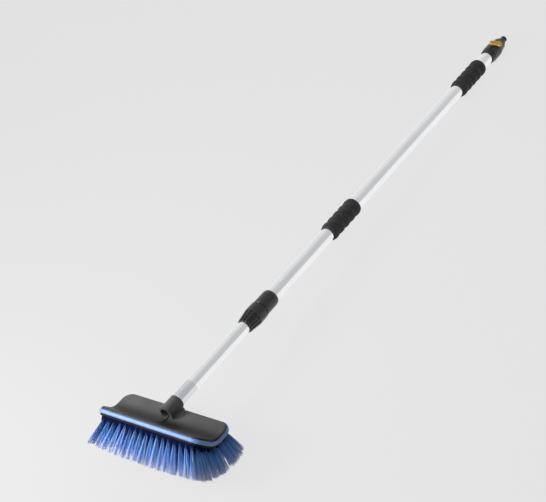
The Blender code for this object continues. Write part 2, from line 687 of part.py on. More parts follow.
def build_valve_body(outer, lever_axis, finish, rubber):
    ring_position = OUTER_TUBE_END - 5 * MM
    spigot_radius = OUTER_TUBE_BORE - GAP
    spigot_start = VALVE_START + 4 * MM
    spigot_bore = 8.0 * MM
    tube_stop = OUTER_TUBE_END + GAP
    sleeve_bore = OUTER_TUBE_RADIUS + GAP
    chamber_floor = BALL_POSITION - 14 * MM
    profile = [(spigot_bore, spigot_start), (spigot_radius, spigot_start)]
    profile += groove_points(spigot_radius, SEAL_GROOVE_DEPTH, ring_position)
    profile += [
        (spigot_radius, tube_stop),
        (sleeve_bore, tube_stop),
        (sleeve_bore, VALVE_START),
        (VALVE_RADIUS - 2.0 * MM, VALVE_START),
        (VALVE_RADIUS - 0.8 * MM, VALVE_START + 5 * MM),
        (VALVE_RADIUS, VALVE_START + 10 * MM),
        (VALVE_RADIUS, VALVE_SHOULDER),
        (VALVE_RADIUS - 0.8 * MM, VALVE_SHOULDER + 4 * MM),
        (VALVE_RADIUS - 2.5 * MM, VALVE_SHOULDER + 11 * MM),
        (VALVE_RADIUS - 4.0 * MM, VALVE_END - 2 * MM),
        (VALVE_RADIUS - 4.8 * MM, VALVE_END),
        (CHAMBER_RADIUS, VALVE_END),
        (CHAMBER_RADIUS, chamber_floor),
        (SEAT_BORE, chamber_floor),
        (SEAT_BORE, tube_stop + 2 * MM),
        (spigot_bore, tube_stop),
    ]
    body = make_turned("valve_body", outer, profile, finish=finish)
    boss = make_cylinder("stem_boss", lever_axis, LEVER_HUB_RADIUS, CHAMBER_RADIUS + MM, STEM_END)
    boolean(body, boss, "UNION")
    hole = make_cylinder("stem_hole", lever_axis, STEM_RADIUS + GAP, 0.0, LEVER_START)
    boolean(body, hole)
    o_ring("tube_o_ring", outer, spigot_radius, ring_position, rubber)


def build_ball_and_seats(outer, lever_axis, chrome, white_plastic):
    profile = []
    bore_half = sqrt(BALL_RADIUS**2 - BALL_BORE_RADIUS**2)
    bore_angle = asin(bore_half / BALL_RADIUS)
    for step in range(BALL_STEPS + 1):
        angle = -bore_angle + 2 * bore_angle * step / BALL_STEPS
        profile.append((BALL_RADIUS * cos(angle), BALL_RADIUS * sin(angle)))
    ball = make_turned("valve_ball", lever_axis, profile, TURNED_STEPS, chrome)
    ball.rotation_euler.y = pi / 2
    slot_side = TANG_WIDTH / 2 + GAP
    slot_low = (-BALL_RADIUS, -slot_side, TANG_START - GAP)
    slot_high = (BALL_RADIUS, slot_side, BALL_RADIUS + MM)
    boolean(ball, make_box("ball_slot", lever_axis, slot_low, slot_high))

    seat_radius = CHAMBER_RADIUS - GAP
    contact = sqrt((BALL_RADIUS + GAP) ** 2 - SEAT_BORE**2)
    rim = sqrt((BALL_RADIUS + GAP) ** 2 - SEAT_RIM_RADIUS**2) + 0.6 * MM
    for number, direction in enumerate((-1, 1), start=1):
        seat_profile = [
            (SEAT_BORE, BALL_POSITION + direction * contact),
            (SEAT_RIM_RADIUS, BALL_POSITION + direction * rim),
            (seat_radius, BALL_POSITION + direction * rim),
            (seat_radius, BALL_POSITION + direction * SEAT_BACK),
            (SEAT_BORE, BALL_POSITION + direction * SEAT_BACK),
        ]
        make_turned(f"valve_seat_{number}", outer, seat_profile, finish=white_plastic)


def build_stem_and_lever(lever_axis, steel, yellow, rubber):
    ring_position = (STEM_START + STEM_END) / 2
    profile = [(STEM_RADIUS, STEM_START)]
    profile += groove_points(STEM_RADIUS, SEAL_GROOVE_DEPTH, ring_position)
    profile.append((STEM_RADIUS, STEM_END))
    stem = make_turned("valve_stem", lever_axis, profile, SMALL_STEPS, steel, is_ring=False)
    tang_low = (-TANG_LENGTH / 2, -TANG_WIDTH / 2, TANG_START)
    tang_high = (TANG_LENGTH / 2, TANG_WIDTH / 2, STEM_START + MM)
    boolean(stem, make_box("stem_tang", lever_axis, tang_low, tang_high), "UNION")
    half = STEM_SQUARE / 2
    square_end = LEVER_START + 2.8 * MM
    square = make_box("stem_square", lever_axis, (-half, -half, STEM_END - MM), (half, half, square_end))
    boolean(stem, square, "UNION")
    o_ring("stem_o_ring", lever_axis, STEM_RADIUS, ring_position, rubber, SMALL_STEPS)

    top = LEVER_START + LEVER_HUB_HEIGHT
    hub = [(LEVER_HUB_RADIUS, LEVER_START), (LEVER_HUB_RADIUS, top - MM), (LEVER_HUB_RADIUS - MM, top)]
    lever = make_turned("valve_lever", lever_axis, hub, TURNED_STEPS, yellow, is_ring=False)
    arm_half = LEVER_ARM_WIDTH / 2
    arm_low = (0.0, -arm_half, LEVER_START + 0.4 * MM)
    arm_high = (LEVER_ARM_LENGTH, arm_half, top - 0.4 * MM)
    arm = make_box("lever_arm", lever_axis, arm_low, arm_high)
    bevel(arm, 1.2 * MM)
    boolean(lever, arm, "UNION")
    reach = half + GAP
    square_low = (-reach, -reach, STEM_END)
    square_high = (reach, reach, square_end + GAP)
    boolean(lever, make_box("lever_square", lever_axis, square_low, square_high))


def build_nipple(outer, finish, rubber):
    plug_radius = CHAMBER_RADIUS - GAP
    profile = [(NIPPLE_BORE, NIPPLE_START), (plug_radius, NIPPLE_START)]
    inner_ring = NIPPLE_START + 3.4 * MM
    profile += groove_points(plug_radius, SEAL_GROOVE_DEPTH, inner_ring)
    tip_ring = NIPPLE_END - 3.6 * MM
    profile += [
        (plug_radius, VALVE_END + GAP),
        (NIPPLE_FLANGE_RADIUS, VALVE_END + GAP),
        (NIPPLE_FLANGE_RADIUS, VALVE_END + 6 * MM),
        (NIPPLE_FLANGE_RADIUS - MM, VALVE_END + 8 * MM),
        (NIPPLE_NECK_RADIUS, VALVE_END + 9 * MM),
        (NIPPLE_NECK_RADIUS, VALVE_END + 11 * MM),
        (NIPPLE_TIP_RADIUS, VALVE_END + 12 * MM),
    ]
    profile += groove_points(NIPPLE_TIP_RADIUS, SEAL_GROOVE_DEPTH, tip_ring)
    profile += [
        (NIPPLE_TIP_RADIUS, NIPPLE_END - 1.2 * MM),
        (NIPPLE_TIP_RADIUS - MM, NIPPLE_END),
        (NIPPLE_BORE, NIPPLE_END),
    ]
    make_turned("hose_nipple", outer, profile, finish=finish)
    o_ring("nipple_o_ring", outer, plug_radius, inner_ring, rubber)
    o_ring("hose_o_ring", outer, NIPPLE_TIP_RADIUS, tip_ring, rubber)


# ---------------------------------------------------------------- assembly


def lever_matrix():
    """Local Z is the lever's axis, out of the body; local X is where its arm points."""
    axis = Vector((1, -1, 0)).normalized()
    sideways = Vector((-1, -1, 0)).normalized()
    arm = Vector((0, 0, -cos(LEVER_REST_ANGLE))) + sideways * sin(LEVER_REST_ANGLE)
    across = axis.cross(arm)
    turn = Matrix((arm, across, axis)).transposed().to_4x4()
    return Matrix.Translation((0, 0, BALL_POSITION)) @ turn


def centre_on_ground(root):
    """Moves the whole model so that its box stands on z = 0, centred in x and y."""
    bpy.context.view_layer.update()
    state = bpy.context.evaluated_depsgraph_get()
    low = Vector((1e9, 1e9, 1e9))
    high = -low
    for item in bpy.context.scene.objects:
        if item.type != "MESH" or item.hide_render:
            continue
        shown = item.evaluated_get(state)
        for vertex in shown.data.vertices:
            place = shown.matrix_world @ vertex.co
            low = Vector(map(min, low, place))
            high = Vector(map(max, high, place))
    root.location = (-(low.x + high.x) / 2, -(low.y + high.y) / 2, -low.z)


def main():
    clear_scene()
    black = material("black_plastic", (0.035, 0.036, 0.038), 0.5)
    foam = material("black_foam", (0.022, 0.022, 0.024), 0.85)
    blue = material("blue_rubber", (0.16, 0.33, 0.75), 0.45)
    bristle = material("blue_bristle", (0.08, 0.17, 0.55), 0.5)
    aluminium = material("aluminium", (0.83, 0.84, 0.85), 0.28, 1.0)
    steel = material("steel", (0.6, 0.61, 0.62), 0.25, 1.0)
    seal = material("seal_rubber", (0.015, 0.015, 0.016), 0.6)
    yellow = material("yellow_plastic", (0.88, 0.47, 0.05), 0.4)
    white = material("white_plastic", (0.8, 0.8, 0.78), 0.4)

    root = make_empty("wash_brush")
    head_turn = Matrix.Rotation(-(BEND_ANGLE + POLE_SLOPE), 4, "X")
    head = make_empty("head_frame", root, head_turn)
    axis_turn = Matrix.Rotation(BEND_ANGLE - pi / 2, 4, "X")
    pole_matrix = head_turn @ Matrix.Translation((0, AXIS_START, 0)) @ axis_turn
    inner = make_empty("inner_pole_axis", root, pole_matrix)
    outer = make_empty("outer_pole_axis", root, pole_matrix)
    nut_axis = make_empty("lock_nut_axis", root, pole_matrix)
    collet_axis = make_empty("collet_axis", root, pole_matrix)
    lever_axis = make_empty("valve_lever_axis", outer, lever_matrix())

    build_head_shell(head, inner, black)
    build_bumper_strip(head, blue)
    build_bristle_block(head, black)
    build_screws(head, steel)
    build_bristle_rows(head, bristle)
    build_ferrule(inner, aluminium, seal)
    build_tubes(inner, outer, aluminium)
    build_piston(inner, black, seal)
    build_lock_nut(nut_axis, black)
    build_collet(collet_axis, white)
    build_lock_collar(outer, black)
    build_grips(outer, foam)
    build_valve_body(outer, lever_axis, black, seal)
    build_ball_and_seats(outer, lever_axis, steel, white)
    build_stem_and_lever(lever_axis, steel, yellow, seal)
    build_nipple(outer, black, seal)
    centre_on_ground(root)


main()
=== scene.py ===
# Studio scene of the telescopic wash brush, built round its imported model

import json
from math import cos, pi, radians, sin, sqrt

import bmesh
import bpy
import numpy as np
from mathutils import Matrix, Vector


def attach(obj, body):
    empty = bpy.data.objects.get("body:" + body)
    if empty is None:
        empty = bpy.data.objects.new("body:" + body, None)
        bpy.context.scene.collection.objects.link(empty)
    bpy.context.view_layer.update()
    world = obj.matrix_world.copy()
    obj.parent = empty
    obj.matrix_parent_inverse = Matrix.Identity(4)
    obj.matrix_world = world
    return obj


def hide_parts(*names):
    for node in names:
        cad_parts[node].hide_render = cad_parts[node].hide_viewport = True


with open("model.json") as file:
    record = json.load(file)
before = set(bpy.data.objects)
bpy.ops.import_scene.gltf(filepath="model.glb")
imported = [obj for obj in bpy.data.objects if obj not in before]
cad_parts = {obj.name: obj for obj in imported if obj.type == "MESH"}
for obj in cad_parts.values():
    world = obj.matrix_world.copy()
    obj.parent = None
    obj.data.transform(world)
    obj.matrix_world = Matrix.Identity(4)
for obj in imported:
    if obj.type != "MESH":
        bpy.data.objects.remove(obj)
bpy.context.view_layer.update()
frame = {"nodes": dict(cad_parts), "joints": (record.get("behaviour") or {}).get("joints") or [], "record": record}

MM = 0.001
GAP = 0.3 * MM

# Bent head plate, measured on the outside of the bumper strip
HEAD_HALF_LENGTH = 114.6 * MM
HEAD_ARC_WIDTH = 85.0 * MM
CORNER_RADIUS = 20.0 * MM
FLAT_WIDTH = 29.3 * MM
BEND_RADIUS = 30.3 * MM
BEND_ANGLE = radians(49)
BEND_LENGTH = BEND_RADIUS * BEND_ANGLE
CORNER_STEPS = 14
BEND_STEPS = 18
EDGE_STEPS = 4

# Heights on the plate's normal, from the joint between the shell and the bristle block
SHELL_TOP = 6.0 * MM
CHAMBER_TOP = 3.5 * MM
STRIP_TOP = 2.6 * MM
STRIP_BOTTOM = -4.2 * MM
JOINT_HALF_GAP = 1.3 * MM
BLOCK_BOTTOM = -8.2 * MM

# Shell, block and strip: insets from the strip's outside, and edge radii
STRIP_THICKNESS = 2.5 * MM
STRIP_BULGE = 1.3 * MM
STRIP_ROUND_STEPS = 12
STRIP_RIB_INSET = 6.8 * MM
STRIP_RIB_HALF = 1.0 * MM
STRIP_LIP = 0.2 * MM
SHELL_INSET = STRIP_THICKNESS + GAP
SHELL_EDGE_RADII = (0.4 * MM, 1.6 * MM)
SHELL_BEVEL = 0.5 * MM
BLOCK_EDGE_RADII = (1.2 * MM, 0.3 * MM)
CHAMBER_INSET = 8.8 * MM

# Bristle rows: stations are arc lengths from the front edge
ROW_STATIONS = [8 * MM, 22 * MM, 36 * MM, 50 * MM, 64 * MM, 77 * MM]
ROW_LEANS = [radians(angle) for angle in (4, 13, 11, -3, -1, 5)]
ROW_FANS = [radians(angle) for angle in (34, 30, 26, 24, 24, 24)]
ROW_TIPS = [-63 * MM, -60 * MM, -59 * MM, -59 * MM, -59 * MM, -59 * MM]
ROW_SPACING = 14.0 * MM
ROW_END_MARGIN = 7.5 * MM
END_FAN_SHARE = 0.45
# Painted shade at the roots of the rows behind the first, as a shift down the bristle colour ramp
INNER_ROW_PAINTED_SHADE = 0.45
# A near-black sheet of painted shade stands between each row's tuft roots
SHADE_SHEET_DEPTH = 8.0 * MM
SHADE_SHEET_TOP = 0.5 * MM
SHADE_SHEET_OVERHANG = 1.5 * MM
SHADE_SHEET_HALF_THICKNESS = 1.2 * MM

# Tufts and their filaments: reach is along the head and depth is across it
TUFT_PITCH = 11.4 * MM
TUFT_ROOT_RADIUS = 1.4 * MM
TUFT_TIP_REACH = 8.0 * MM
TUFT_TIP_DEPTH = 5.5 * MM
END_TUFT_REACH = 6.0 * MM
END_TUFT_DEPTH = 9.0 * MM
TUFT_ANGLE_SCATTER = radians(0.8)
TUFT_TINT_SCATTER = 0.03
FILAMENTS_PER_TUFT = 160
FILAMENT_RADIUS = 0.24 * MM
FILAMENT_TAPER = 0.3
FILAMENT_STEPS = 5
FILAMENT_SIDES = 3
FILAMENT_TINT_SCATTER = 0.05
FILAMENT_SPREAD_RANGE = (0.8, 1.08)
LENGTH_SCATTER = 0.018
EDGE_SHORTENING = 0.03
BOW_SCATTER_MM = 0.4
FLOOR_CLEARANCE = 0.3 * MM

# Pole: positions are distances along its axis from the plane of the flat front section
AXIS_START = 22.7 * MM
TURNED_STEPS = 96

# Socket on the head, with a gusset rib in front of it
SOCKET_RADIUS = 12.8 * MM
SOCKET_BORE_RADIUS = 9.3 * MM
SOCKET_HEIGHT = 15.4 * MM
SOCKET_FLARE = 2.6 * MM
SOCKET_FOOT_DEPTH = 0.5 * MM
SOCKET_ROUND_STEPS = 24
SOCKET_FLARE_STEPS = 6
SOCKET_BOTTOM = 28.0 * MM
SOCKET_POCKET_TOP = 36.0 * MM
SOCKET_BARREL_START = 40.0 * MM
SOCKET_BORE_START = 49.0 * MM
SOCKET_SADDLE_END = 56.0 * MM
SOCKET_TOP = 59.0 * MM
RIB_TOP = 8.3 * MM
RIB_HALF_THICKNESS = 1.3 * MM
RIB_FOOT_STEPS = 8

# Tubes and ferrule
INNER_TUBE_RADIUS = 11.0 * MM
INNER_TUBE_BORE = 10.0 * MM
INNER_TUBE_START = 66.0 * MM
INNER_TUBE_END = 834.0 * MM
OUTER_TUBE_RADIUS = 12.5 * MM
OUTER_TUBE_BORE = 11.5 * MM
OUTER_TUBE_START = 264.0 * MM
OUTER_TUBE_END = 1074.0 * MM
TUBE_EDGE_RADIUS = 0.2 * MM
FERRULE_RADIUS = 12.2 * MM
FERRULE_END = 97.0 * MM
FERRULE_BORE = 6.0 * MM
FERRULE_EDGE_RADIUS = 0.5 * MM
SPIGOT_RADIUS = 9.0 * MM
SPIGOT_START = 50.0 * MM
SPIGOT_GROOVE = (54.05 * MM, 55.95 * MM)
SPIGOT_GROOVE_RADIUS = 7.6 * MM

# Twist lock: the nut's profile is its (distance from its start, radius) over the ribs, in millimetres
NUT_PROFILE = [(0.0, 12.6), (2.0, 14.0), (22.7, 17.0), (25.5, 17.4), (29.7, 17.5), (44.2, 17.2), (45.2, 16.4)]
NUT_START = 244.3 * MM
NUT_MIDDLE = 266.0 * MM
NUT_END = 289.5 * MM
NUT_RIBS = 12
NUT_STEPS_PER_RIB = 16
NUT_RIB_LENGTH = 24.0 * MM
NUT_RIM_FADE = 2.5 * MM
NUT_GROOVE_DEPTH = 1.9 * MM
NUT_GROOVE_EDGE = 0.15
NUT_BAND_STEPS = (0.5 * MM, 3.0 * MM, 6.0 * MM, 14.0 * MM, 20.2 * MM)
NUT_END_RADIUS = 16.4 * MM
NUT_THREAD_BORE = 14.5 * MM
NUT_CONE_RADIUS = 12.0 * MM
NUT_RIM_BORE = 11.4 * MM
NUT_RIM_LENGTH = 4.0 * MM
COLLAR_RADIUS = 16.0 * MM
COLLAR_NECK_RADIUS = 14.2 * MM
COLLAR_FACE_RADIUS = 15.6 * MM
COLLAR_START = 290.0 * MM
COLLAR_FACE = COLLAR_START + 1.1 * MM
COLLAR_CHAMFER_END = COLLAR_START + 1.5 * MM
COLLAR_END = 325.0 * MM
COLLAR_DOME_LENGTH = 10.0 * MM
COLLAR_DOME_RISE = 9.6 * MM
COLLAR_DOME_DROP = 2.6 * MM
COLLAR_DOME_STEPS = 8

# Foam grips
GRIP_STARTS = {"lower_grip": 498 * MM, "upper_grip": 947.5 * MM}
GRIP_LENGTH = 84.5 * MM
GRIP_RIBS = 5
GRIP_POINTS_PER_RIB = 14
GRIP_RADIUS = 16.75 * MM
GRIP_VALLEY_RADIUS = 14.8 * MM
GRIP_END_RADIUS = 14.0 * MM
GRIP_END_ROUNDING = 0.5 * MM
GRIP_FULLNESS = 0.7

# Shut-off valve
VALVE_START = 1062.0 * MM
VALVE_SHOULDER = 1091.5 * MM
VALVE_END = 1113.5 * MM
VALVE_RADIUS = 16.0 * MM
VALVE_EDGE_RADIUS = 1.2 * MM
BALL_POSITION = 1093.5 * MM
BALL_ROOM = 14.0 * MM
CHAMBER_RADIUS = 9.3 * MM
VALVE_NOSE_RADIUS = 11.2 * MM
TUBE_SEAL_RADIUS = 8.0 * MM
WATER_WAY_RADIUS = 5.0 * MM
BOSS_START = 10.3 * MM
STEM_END = 16.6 * MM
STEM_HOLE_RADIUS = 3.7 * MM

# Lever: its edge is a list of (height, inset) levels
LEVER_START = 17.0 * MM
LEVER_EDGE = [(0.0, 0.4 * MM), (0.4 * MM, 0.0), (3.2 * MM, 0.0), (3.8 * MM, 0.25 * MM), (4.2 * MM, 0.9 * MM)]
LEVER_HUB_RADIUS = 5.8 * MM
LEVER_HUB_STEPS = 32
LEVER_ARM_LENGTH = 21.5 * MM
LEVER_ARM_WIDTH = 8.0 * MM
LEVER_ARM_STEPS = 16
LEVER_ARM_MEETS_HUB = radians(48)
LEVER_REST_ANGLE = radians(47)

# Hose nipple
NIPPLE_START = 1107.4 * MM
NIPPLE_END = 1131.5 * MM
NIPPLE_RADIUS = 6.2 * MM
NIPPLE_NECK_RADIUS = 5.4 * MM
NIPPLE_SHOULDER_RADIUS = 8.4 * MM
NIPPLE_BORE = 3.5 * MM
SEAL_GROOVE_DEPTH = 1.4 * MM
SEAL_GROOVE_START = NIPPLE_END - 4.55 * MM
SEAL_GROOVE_END = NIPPLE_END - 2.65 * MM
NIPPLE_EDGE_RADIUS = 0.3 * MM

# Textures: scales are features per metre, and depths are heights of the surface relief
MOULDING_PATCHES = 45.0
FINE_GRAIN = 1400.0
COARSE_GRAIN = 1100.0
GRAIN_DEPTH = 0.1 * MM
# Painted sheen on the head's ramp: the scale of its cloudy patches, and how far it fades in from the painted shade
# of the bend
RAMP_SHEEN_CLOUDS = 22.0
RAMP_SHEEN_FADE = 11.0 * MM
FOAM_PORES = 1500.0
FOAM_PATCHES = 120.0
FOAM_DEPTH = 0.4 * MM
DRAWN_LINES = 1800.0
DRAWN_LINE_STRETCH = 0.012
DRAWN_LINE_DEPTH = 0.03 * MM
DRAWN_SHADES = 60.0
DRAWN_SHADE_STRETCH = 0.3
RUBBER_PATCHES = 90.0
RUBBER_GRAIN = 900.0
RUBBER_DEPTH = 0.08 * MM
POLISH_MARKS = 260.0

# Camera: where it stands round the object, and the point it looks at
CAMERA_AZIMUTH = radians(50.366)
CAMERA_ELEVATION = radians(36.804)
CAMERA_ROLL = radians(23.616)
CAMERA_DISTANCE = 2.7434
CAMERA_TARGET = Vector((-0.0779, -0.1049, 0.0500))
CAMERA_LENS = 102.44
CAMERA_SENSOR = 36.0

# Studio: strengths of the floor's and the room's glow, as different rays see them
BACKDROP_COLOUR = (0.791, 0.791, 0.799)
FLOOR_SIZE = 60
FLOOR_HEIGHT = -0.2 * MM
FLOOR_REFLECTANCE = 0.05
FLOOR_SEEN = 0.94
FLOOR_FILL = 0.35
FLOOR_GLOSS = 1.2
ROOM_BRIGHT = 1.05
ROOM_DARK = 0.74
ROOM_FILL = 0.18
BAND_EDGE = 0.10
BAND_MIDDLE = 0.95

# Area lights: name, place, the point they shine at, width, height and power in watts
LIGHTS = [
    ("key", (-0.60, -1.03, 0.61), (-0.1, -0.5, 0), 0.4, 0.4, 14),
    ("top", (0.1, -1.1, 2.2), (0, 0, 0), 1.6, 2.0, 18),
]


# ---------------------------------------------------------------- frames of reference


def joint(name):
    return next(item for item in frame["joints"] if item["name"] == name)


def pole_matrix():
    """Local Z along the pole towards the hose, local Y towards the bristles."""
    along = -Vector(joint("pole_slide")["axis"]).normalized()
    across = Vector((1, 0, 0))
    down = along.cross(across)
    start = Vector(joint("lock_nut_turn")["pos_m"]) - along * NUT_MIDDLE
    turn = Matrix((across, down, along)).transposed().to_4x4()
    return Matrix.Translation(start) @ turn


def head_matrix():
    """Origin at the middle of the front edge, Y back along the flat section, Z off it."""
    turn = Matrix.Rotation(pi / 2 - BEND_ANGLE, 4, "X")
    return POLE @ turn @ Matrix.Translation((0, -AXIS_START, 0))


def lever_matrix():
    """Local Z is the lever's axis, out of the body; local X is where its arm points."""
    turning = joint("valve_lever_turn")
    axis = Vector(turning["axis"]).normalized()
    along = POLE.to_3x3() @ Vector((0, 0, 1))
    sideways = axis.cross(along)
    arm = -along * cos(LEVER_REST_ANGLE) + sideways * sin(LEVER_REST_ANGLE)
    turn = Matrix((arm, axis.cross(arm), axis)).transposed().to_4x4()
    return Matrix.Translation(turning["pos_m"]) @ turn


def plate_frame(station):
    """Y, Z and slope angle of the plate's middle surface at an arc length."""
    angle = min(max(station - FLAT_WIDTH, 0.0) / BEND_RADIUS, BEND_ANGLE)
    along = min(station, FLAT_WIDTH)
    past = max(station - FLAT_WIDTH - BEND_LENGTH, 0.0)
    y = along + BEND_RADIUS * sin(angle) + past * cos(angle)
    z = BEND_RADIUS * (1.0 - cos(angle)) + past * sin(angle)
    return y, z, angle


def plate_point(x, station, height):
    y, z, angle = plate_frame(station)
    return Vector((x, y - height * sin(angle), z + height * cos(angle)))


def plate_matrix(x, station, height, lean=0.0):
    """A frame on the plate, with local Z off it and leaned about X."""
    angle = plate_frame(station)[2]
    place = Matrix.Translation(plate_point(x, station, height))
    return place @ Matrix.Rotation(angle + lean, 4, "X")


POLE = pole_matrix()
HEAD = head_matrix()
LEVER = lever_matrix()


# ---------------------------------------------------------------- materials


class Nodes:
    """A short way to build one material's node tree."""

    def __init__(self, name):
        self.material = bpy.data.materials.new(name)
        self.material.use_nodes = True
        self.tree = self.material.node_tree
        self.shader = self.tree.nodes["Principled BSDF"]

    def add(self, kind, **settings):
        node = self.tree.nodes.new(kind)
        for key, value in settings.items():
            setattr(node, key, value)
        return node

    def link(self, source, target):
        self.tree.links.new(source, target)

    def feed(self, source, socket):
        """Links an output to one of the shader's own inputs."""
        self.link(source, self.shader.inputs[socket])

    def set(self, **values):
        for key, value in values.items():
            self.shader.inputs[key.replace("_", " ")].default_value = value

    def along_pole(self, stretch=1):
        """Coordinates on the pole's own axes, in metres; a stretch under 1 draws textures out along it."""
        coordinates = self.add("ShaderNodeTexCoord")
        mapping = self.add("ShaderNodeMapping", vector_type="TEXTURE")
        mapping.inputs["Rotation"].default_value = POLE.to_euler()
        mapping.inputs["Scale"].default_value = (1, 1, 1 / stretch)
        self.link(coordinates.outputs["Object"], mapping.inputs["Vector"])
        return mapping.outputs["Vector"]

    def noise(self, vector, scale, detail=3.0):
        node = self.add("ShaderNodeTexNoise")
        node.inputs["Scale"].default_value = scale
        node.inputs["Detail"].default_value = detail
        node.inputs["Roughness"].default_value = 0.5
        self.link(vector, node.inputs["Vector"])
        return node.outputs["Fac"]

    def ramp(self, factor, stops):
        """A colour ramp over (position, colour) stops."""
        node = self.add("ShaderNodeValToRGB")
        elements = node.color_ramp.elements
        while len(elements) < len(stops):
            elements.new(0.5)
        for element, (position, colour) in zip(elements, stops):
            element.position = position
            element.color = (*colour, 1.0)
        self.link(factor, node.inputs["Fac"])
        return node.outputs["Color"]

    def mottle(self, noise, low, high, edge=0.3):
        """Spreads the middle range of a noise over two colours."""
        return self.ramp(noise, [(edge, low), (1 - edge, high)])

    def bump(self, height, distance, strength):
        node = self.add("ShaderNodeBump")
        node.inputs["Distance"].default_value = distance
        node.inputs["Strength"].default_value = strength
        self.link(height, node.inputs["Height"])
        self.feed(node.outputs["Normal"], "Normal")


def grey(value):
    return (value, value, value)


def moulded_plastic(name, shades, roughness, gloss, grain):
    """Black moulding with a fine spark-eroded grain and slightly uneven gloss."""
    made = Nodes(name)
    place = made.along_pole()
    patches = made.noise(place, MOULDING_PATCHES, 4.0)
    made.feed(made.mottle(patches, grey(shades[0]), grey(shades[1]), 0.35), "Base Color")
    made.feed(made.mottle(patches, grey(roughness[0]), grey(roughness[1])), "Roughness")
    made.set(Specular_IOR_Level=gloss)
    made.bump(made.noise(place, grain, 2.0), GRAIN_DEPTH, 0.3)
    return made.material


def head_material():
    """Satin moulding with painted sheen: paler and cloudy on the ramp, where the light falls, and nearly black in
    the bend, which is painted shade.
    """
    made = Nodes("moulded_head_painted_sheen")
    place = made.along_pole()
    up_ramp = HEAD.to_3x3() @ Vector((0, cos(BEND_ANGLE), sin(BEND_ANGLE)))
    bend_end = HEAD @ plate_point(0.0, FLAT_WIDTH + BEND_LENGTH, SHELL_TOP)
    coordinates = made.add("ShaderNodeTexCoord")
    along = made.add("ShaderNodeVectorMath", operation="DOT_PRODUCT")
    along.inputs[1].default_value = up_ramp
    made.link(coordinates.outputs["Object"], along.inputs[0])
    share = made.add("ShaderNodeMapRange", interpolation_type="SMOOTHSTEP")
    share.inputs["From Min"].default_value = bend_end.dot(up_ramp) - RAMP_SHEEN_FADE
    share.inputs["From Max"].default_value = bend_end.dot(up_ramp) + RAMP_SHEEN_FADE
    made.link(along.outputs["Value"], share.inputs["Value"])
    # Painted sheen: cloudy pale patches up the ramp, fading to painted shade in the bend
    sheen_clouds = made.mottle(made.noise(place, RAMP_SHEEN_CLOUDS), grey(0.70), grey(1.0), 0.35)
    painted_sheen = made.add("ShaderNodeMath", operation="MULTIPLY")
    made.link(share.outputs["Result"], painted_sheen.inputs[0])
    made.link(sheen_clouds, painted_sheen.inputs[1])
    made.feed(made.mottle(painted_sheen.outputs["Value"], grey(0.030), grey(0.112), 0.0), "Base Color")
    made.set(Roughness=0.45, Specular_IOR_Level=0.12)
    made.bump(made.noise(place, COARSE_GRAIN, 2.0), GRAIN_DEPTH, 0.3)
    return made.material


def foam_material():
    """Matt closed-cell foam with small pores."""
    made = Nodes("foam")
    place = made.along_pole()
    pores = made.add("ShaderNodeTexVoronoi")
    pores.inputs["Scale"].default_value = FOAM_PORES
    made.link(place, pores.inputs["Vector"])
    patches = made.noise(place, FOAM_PATCHES, 4.0)
    made.feed(made.mottle(patches, grey(0.013), grey(0.024)), "Base Color")
    made.set(Roughness=0.82, Sheen_Weight=0.1)
    made.bump(pores.outputs["Distance"], FOAM_DEPTH, 0.5)
    return made.material


def drawn_aluminium(name, colour, roughness):
    """Satin anodised tube with fine lines drawn along its length."""
    made = Nodes(name)
    lines = made.noise(made.along_pole(DRAWN_LINE_STRETCH), DRAWN_LINES)
    shades = made.noise(made.along_pole(DRAWN_SHADE_STRETCH), DRAWN_SHADES, 2.0)
    made.feed(made.mottle(lines, grey(roughness[0]), grey(roughness[1])), "Roughness")
    darker = tuple(channel * 0.94 for channel in colour)
    made.feed(made.mottle(shades, darker, colour), "Base Color")
    made.set(Metallic=1.0)
    made.bump(lines, DRAWN_LINE_DEPTH, 0.1)
    return made.material


def rubber_material(name, dark, light, roughness, gloss):
    made = Nodes(name)
    place = made.along_pole()
    made.feed(made.mottle(made.noise(place, RUBBER_PATCHES), dark, light), "Base Color")
    made.set(Roughness=roughness, Specular_IOR_Level=gloss)
    made.bump(made.noise(place, RUBBER_GRAIN, 2.0), RUBBER_DEPTH, 0.4)
    return made.material


def polished_material(name, colour, roughness, metallic):
    """Smooth surface with faint handling marks in its gloss and colour."""
    made = Nodes(name)
    marks = made.noise(made.along_pole(), POLISH_MARKS, 4.0)
    made.feed(made.mottle(marks, grey(roughness * 0.8), grey(roughness * 1.25)), "Roughness")
    lighter = tuple(min(channel * 1.06, 1.0) for channel in colour)
    made.feed(made.mottle(marks, colour, lighter), "Base Color")
    made.set(Metallic=metallic)
    return made.material


def bristle_material():
    """Filaments fade from near-black navy at the root, painted shade where they crowd at the block, through blue,
    to pale flagged tips.
    """
    made = Nodes("bristle")
    fade = made.add("ShaderNodeAttribute", attribute_name="fade")
    # The tint attribute is each tuft's and filament's random tone, less painted shade at the roots of the inner
    # rows
    tint = made.add("ShaderNodeAttribute", attribute_name="tint")
    shifted = made.add("ShaderNodeMath", operation="ADD")
    made.link(fade.outputs["Fac"], shifted.inputs[0])
    made.link(tint.outputs["Fac"], shifted.inputs[1])
    # The near-black first stop is painted shade at the roots
    stops = [
        (0.0, (0.004, 0.006, 0.030)),
        (0.12, (0.030, 0.090, 0.36)),
        (0.32, (0.120, 0.310, 0.72)),
        (0.62, (0.190, 0.400, 0.82)),
        (0.82, (0.360, 0.490, 0.84)),
        (0.96, (0.640, 0.690, 0.90)),
    ]
    made.feed(made.ramp(shifted.outputs["Value"], stops), "Base Color")
    gloss = made.ramp(fade.outputs["Fac"], [(0.0, grey(0.0)), (0.3, grey(0.4))])
    made.feed(gloss, "Specular IOR Level")
    made.set(Roughness=0.42)
    return made.material


